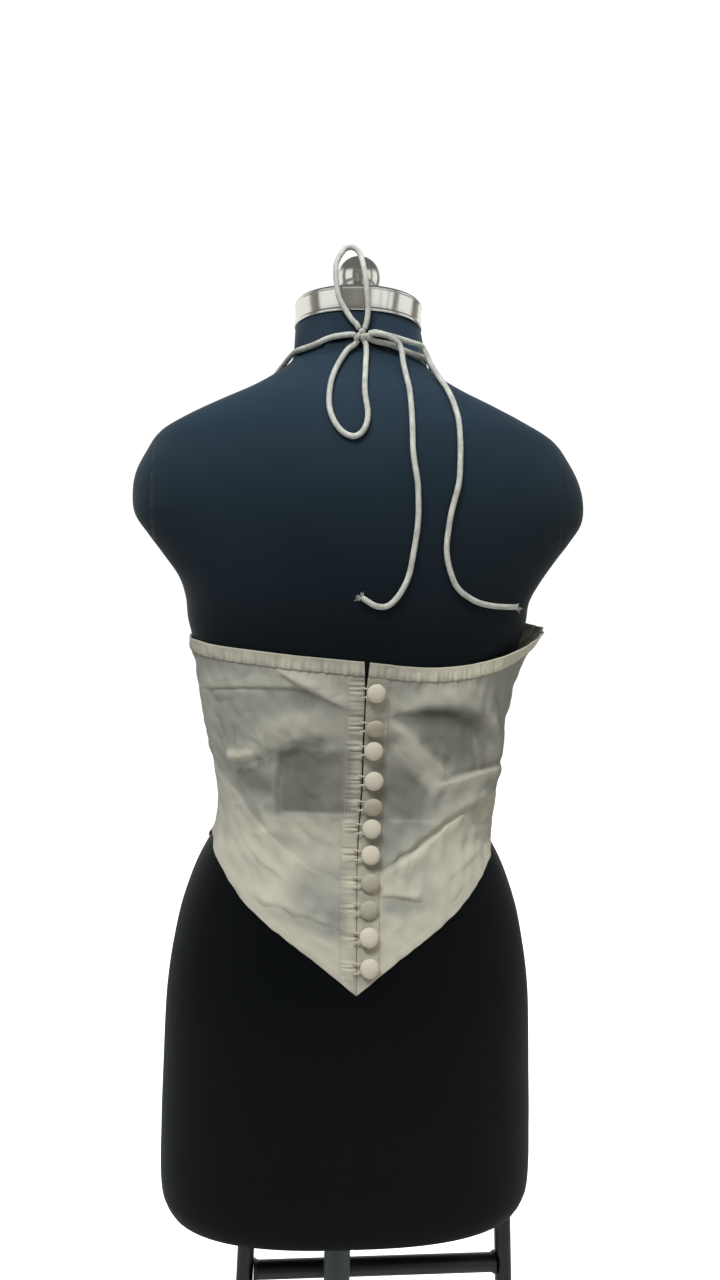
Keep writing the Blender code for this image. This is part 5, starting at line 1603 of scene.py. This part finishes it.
# The halter cord: one soft round braided cotton cord, sewn to the fronts' points, passed round the
# neck and tied at the nape in a bow with two loops and two loose tails that end in frayed threads.
Turn = namedtuple("Turn", "angle height lift")
CORD_ROUTES = {
    "cord_neck_left": [
        Turn(-145, 1.2435, 3.8),
        Turn(-140, 1.268, 3.6),
        Turn(-133, 1.296, 3.4),
        Turn(-125, 1.322, 3.4),
        Turn(-116, 1.346, 3.8),
        Turn(-106, 1.3625, 4.0),
        Turn(-94, 1.374, 3.8),
        Turn(-80, 1.3815, 3.4),
        Turn(-66, 1.3845, 3.2),
        Turn(-54, 1.384, 3.6),
        Turn(-42, 1.3855, 3.4),
        Turn(-27, 1.3902, 3.4),
        Turn(-11, 1.3920, 3.6),
    ],
    "cord_neck_right": [
        Turn(145, 1.2435, 3.8),
        Turn(140, 1.268, 3.6),
        Turn(133, 1.296, 3.4),
        Turn(125, 1.322, 3.4),
        Turn(116, 1.346, 3.8),
        Turn(106, 1.364, 4.4),
        Turn(93, 1.375, 4.6),
        Turn(78, 1.379, 4.4),
        Turn(62, 1.3795, 4.2),
        Turn(48, 1.3795, 4.0),
        Turn(36, 1.3815, 3.4),
        Turn(22, 1.3850, 3.4),
        Turn(9.5, 1.3862, 3.6),
    ],
    "cord_loop_up": [
        Turn(-5.5, 1.4010, 4.8),
        Turn(-10, 1.4060, 4.6),
        Turn(-19, 1.4220, 4.4),
        Turn(-22, 1.4350, 4.6),
        Turn(-24, 1.4480, 2.0),
        Turn(-25, 1.4600, -4.2),
        Turn(-20, 1.4715, -10.6),
        Turn(-12, 1.4740, -13.2),
        Turn(-4, 1.4690, -11.6),
        Turn(-0.5, 1.4580, -5.6),
        Turn(1, 1.4450, 2.2),
        Turn(2.4, 1.4300, 4.6),
        Turn(3.6, 1.4120, 4.4),
        Turn(2.2, 1.4012, 4.8),
    ],
    "cord_loop_down": [
        Turn(-6.8, 1.3815, 4.0),
        Turn(-13, 1.3745, 3.6),
        Turn(-19, 1.3550, 3.4),
        Turn(-19.8, 1.3327, 3.2),
        Turn(-18.1, 1.3146, 3.2),
        Turn(-13.4, 1.3007, 3.2),
        Turn(-7.4, 1.2957, 3.2),
        Turn(-2.4, 1.3020, 3.2),
        Turn(0.0, 1.3163, 3.2),
        Turn(-0.6, 1.3380, 3.2),
        Turn(0.8, 1.3576, 3.4),
        Turn(2.2, 1.3720, 3.6),
        Turn(2.2, 1.3812, 4.0),
    ],
    "cord_tail_a": [
        Turn(8.2, 1.3910, 9.6),
        Turn(18.0, 1.3895, 10.4),
        Turn(25.5, 1.3835, 10.4),
        Turn(28.0, 1.3740, 9.0),
        Turn(27.2, 1.3620, 6.0),
        Turn(25.6, 1.3480, 4.0),
        Turn(23.4, 1.3280, 3.2),
        Turn(21.6, 1.3129, 3.2),
        Turn(19.5, 1.2866, 3.2),
        Turn(20.0, 1.2533, 3.2),
        Turn(19.8, 1.2289, 3.2),
        Turn(17.7, 1.1961, 3.2),
        Turn(15.1, 1.1731, 3.2),
        Turn(10.2, 1.1599, 3.2),
        Turn(4.2, 1.1580, 3.2),
        Turn(-3.0, 1.1651, 3.2),
    ],
    "cord_tail_b": [
        Turn(9.8, 1.3950, 3.6),
        Turn(20.5, 1.3935, 3.6),
        Turn(31.0, 1.3920, 4.8),
        Turn(39.2, 1.3883, 9.8),
        Turn(45.6, 1.3844, 12.8),
        Turn(50.0, 1.3758, 11.4),
        Turn(51.0, 1.3650, 6.8),
        Turn(48.5, 1.3509, 3.8),
        Turn(45.2, 1.3356, 3.2),
        Turn(40.0, 1.2981, 3.2),
        Turn(36.5, 1.2635, 3.2),
        Turn(32.5, 1.2300, 3.2),
        Turn(31.8, 1.2013, 3.2),
        Turn(36.0, 1.1777, 3.2),
        Turn(44.1, 1.1651, 3.2),
        Turn(52.6, 1.1607, 3.2),
        Turn(63.9, 1.1608, 3.2),
    ],
}
CORD_DIAMETER = 4.8 * MM
CORD_SIDES = 24
CORD_STEP = 0.8 * MM

cord_cotton, cord_tree, cord_shader = new_material("braided_cord", (0.60, 0.60, 0.55), 0.8)
cord_at = cord_tree.nodes.new("ShaderNodeUVMap").outputs["UV"]
cord_fibres = noise(cord_tree, cord_at, 1500, 3, (1, 0.2, 1))
cord_mottle = noise(cord_tree, cord_at, 70, 3)
cord_mix = sum_of(cord_tree, cord_mottle, cord_fibres, 0.6)
cord_colours = [(0.55, (0.31, 0.30, 0.25)), (0.80, (0.47, 0.46, 0.395)), (1.0, (0.60, 0.585, 0.51))]
cord_tree.links.new(ramp_between(cord_tree, cord_mix, cord_colours), cord_shader.inputs["Base Color"])
raised(cord_tree, cord_shader, cord_fibres, 0.35, 0.25 * MM)
cord_shader.inputs["Sheen Weight"].default_value = 0.1


def braid(turn, distance):
    """The low diamonds of a round braid."""
    slant = distance * 2 * math.pi / (9 * MM)
    return 0.965 + 0.045 * np.abs(np.cos(2 * turn + slant * 2) * np.cos(2 * turn - slant * 2))


def cord_path(turns):
    """The cord's middle line, at an even step, from its route round the form."""
    route = np.array(turns, float)
    dense = smooth_line(np.vstack([route[:1], route, route[-1:]]), np.arange(12) / 12)
    places = off_form(dense[:, 0], dense[:, 1], dense[:, 2] * MM)
    return even_steps(places, CORD_STEP, 1)


knot_low, knot_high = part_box("halter_knot")
knot_middle = np.array((knot_low + knot_high) / 2)
knot_half = np.array((knot_high - knot_low) / 2)
INTO_KNOT = 0.55
NEAR_KNOT = 22 * MM


def into_knot(path):
    """The cord's middle line, carried on into the knot from each end that comes to it."""
    for _ in range(2):
        if np.linalg.norm(path[-1] - knot_middle) < NEAR_KNOT:
            inside = path[-1] + (knot_middle - path[-1]) * INTO_KNOT
            steps = max(int(np.linalg.norm(inside - path[-1]) / CORD_STEP), 2)
            path = np.vstack([path, path[-1] + (inside - path[-1]) * (np.arange(1, steps + 1) / steps)[:, None]])
        path = path[::-1]
    return path


paths = {node: into_knot(cord_path(turns)) for node, turns in CORD_ROUTES.items()}
for node, path in paths.items():
    mesh = tube_mesh("halter_" + node, path, CORD_DIAMETER / 2, CORD_SIDES, braid)
    shown("halter_" + node, mesh, cord_cotton, [node])

# The knot: the cord passed round itself and drawn tight, in three short turns that lean across
# each other. Each turn is a closed ring: (lean, shift across in mm, how wide, how deep).
WRAP_RADIUS = 2.25 * MM
KNOT_TURNS = [(-0.62, -2.5, 0.94, 0.92), (0.10, 0.4, 0.80, 0.98), (0.78, 2.7, 0.90, 0.86)]
knot_shape = bmesh.new()
for lean, aside_by, tall, deep in KNOT_TURNS:
    ring = []
    for turn in np.linspace(0.2, 2 * math.pi + 0.2, 30):
        out = (knot_half[1] - WRAP_RADIUS) * deep * math.cos(turn)
        high = (knot_half[2] - WRAP_RADIUS) * tall * math.sin(turn)
        ring.append(knot_middle + (aside_by * MM - high * math.sin(lean), -out, high * math.cos(lean)))
    turn_mesh = tube_mesh("knot_turn", dense_line(ring, CORD_STEP), WRAP_RADIUS, 20, braid)
    knot_shape.from_mesh(turn_mesh)
    bpy.data.meshes.remove(turn_mesh)
knot_mesh = bpy.data.meshes.new("halter_bow_knot")
knot_shape.to_mesh(knot_mesh)
knot_shape.free()
knot = shown("halter_bow_knot", knot_mesh, cord_cotton, ["halter_knot"])

# The tails' ends: the braid let go, in a small brush of loose threads.
FRAY_THREADS = 26
FRAY_LONG = 9 * MM
FRAY_RADIUS = 0.22 * MM
fray_draw = np.random.default_rng(8)
for node in ("cord_tail_a", "cord_tail_b"):
    path = paths[node]
    tip = path[-1]
    onward = path[-1] - path[-6]
    onward /= np.linalg.norm(onward)
    off = tip * (1, 1, 0)
    off /= np.linalg.norm(off)
    over = np.cross(onward, off)
    brush = bmesh.new()
    for i in range(FRAY_THREADS):
        turn = fray_draw.uniform(0, 2 * math.pi)
        off_centre = (off * math.sin(turn) + over * math.cos(turn)) * fray_draw.uniform(0.4, 2.2) * MM
        start = tip - onward * 2.5 * MM + off_centre
        out = fray_draw.uniform(0.25, 1.0)
        spread = (off * abs(math.sin(turn)) * 0.25 + over * math.cos(turn) * 0.9) * out
        long = FRAY_LONG * fray_draw.uniform(0.45, 1.0)
        line = [
            start,
            start + (onward * 0.45 + spread * 0.25) * long,
            start + (onward * 0.85 + spread * 0.8) * long,
        ]
        strand = tube_mesh("strand", dense_line(line, 0.9 * MM), FRAY_RADIUS, 5)
        brush.from_mesh(strand)
        bpy.data.meshes.remove(strand)
    mesh = bpy.data.meshes.new("frayed_" + node)
    brush.to_mesh(mesh)
    brush.free()
    shown("frayed_" + node, mesh, cord_cotton)

# The box round this scene's shown pieces.
low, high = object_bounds()
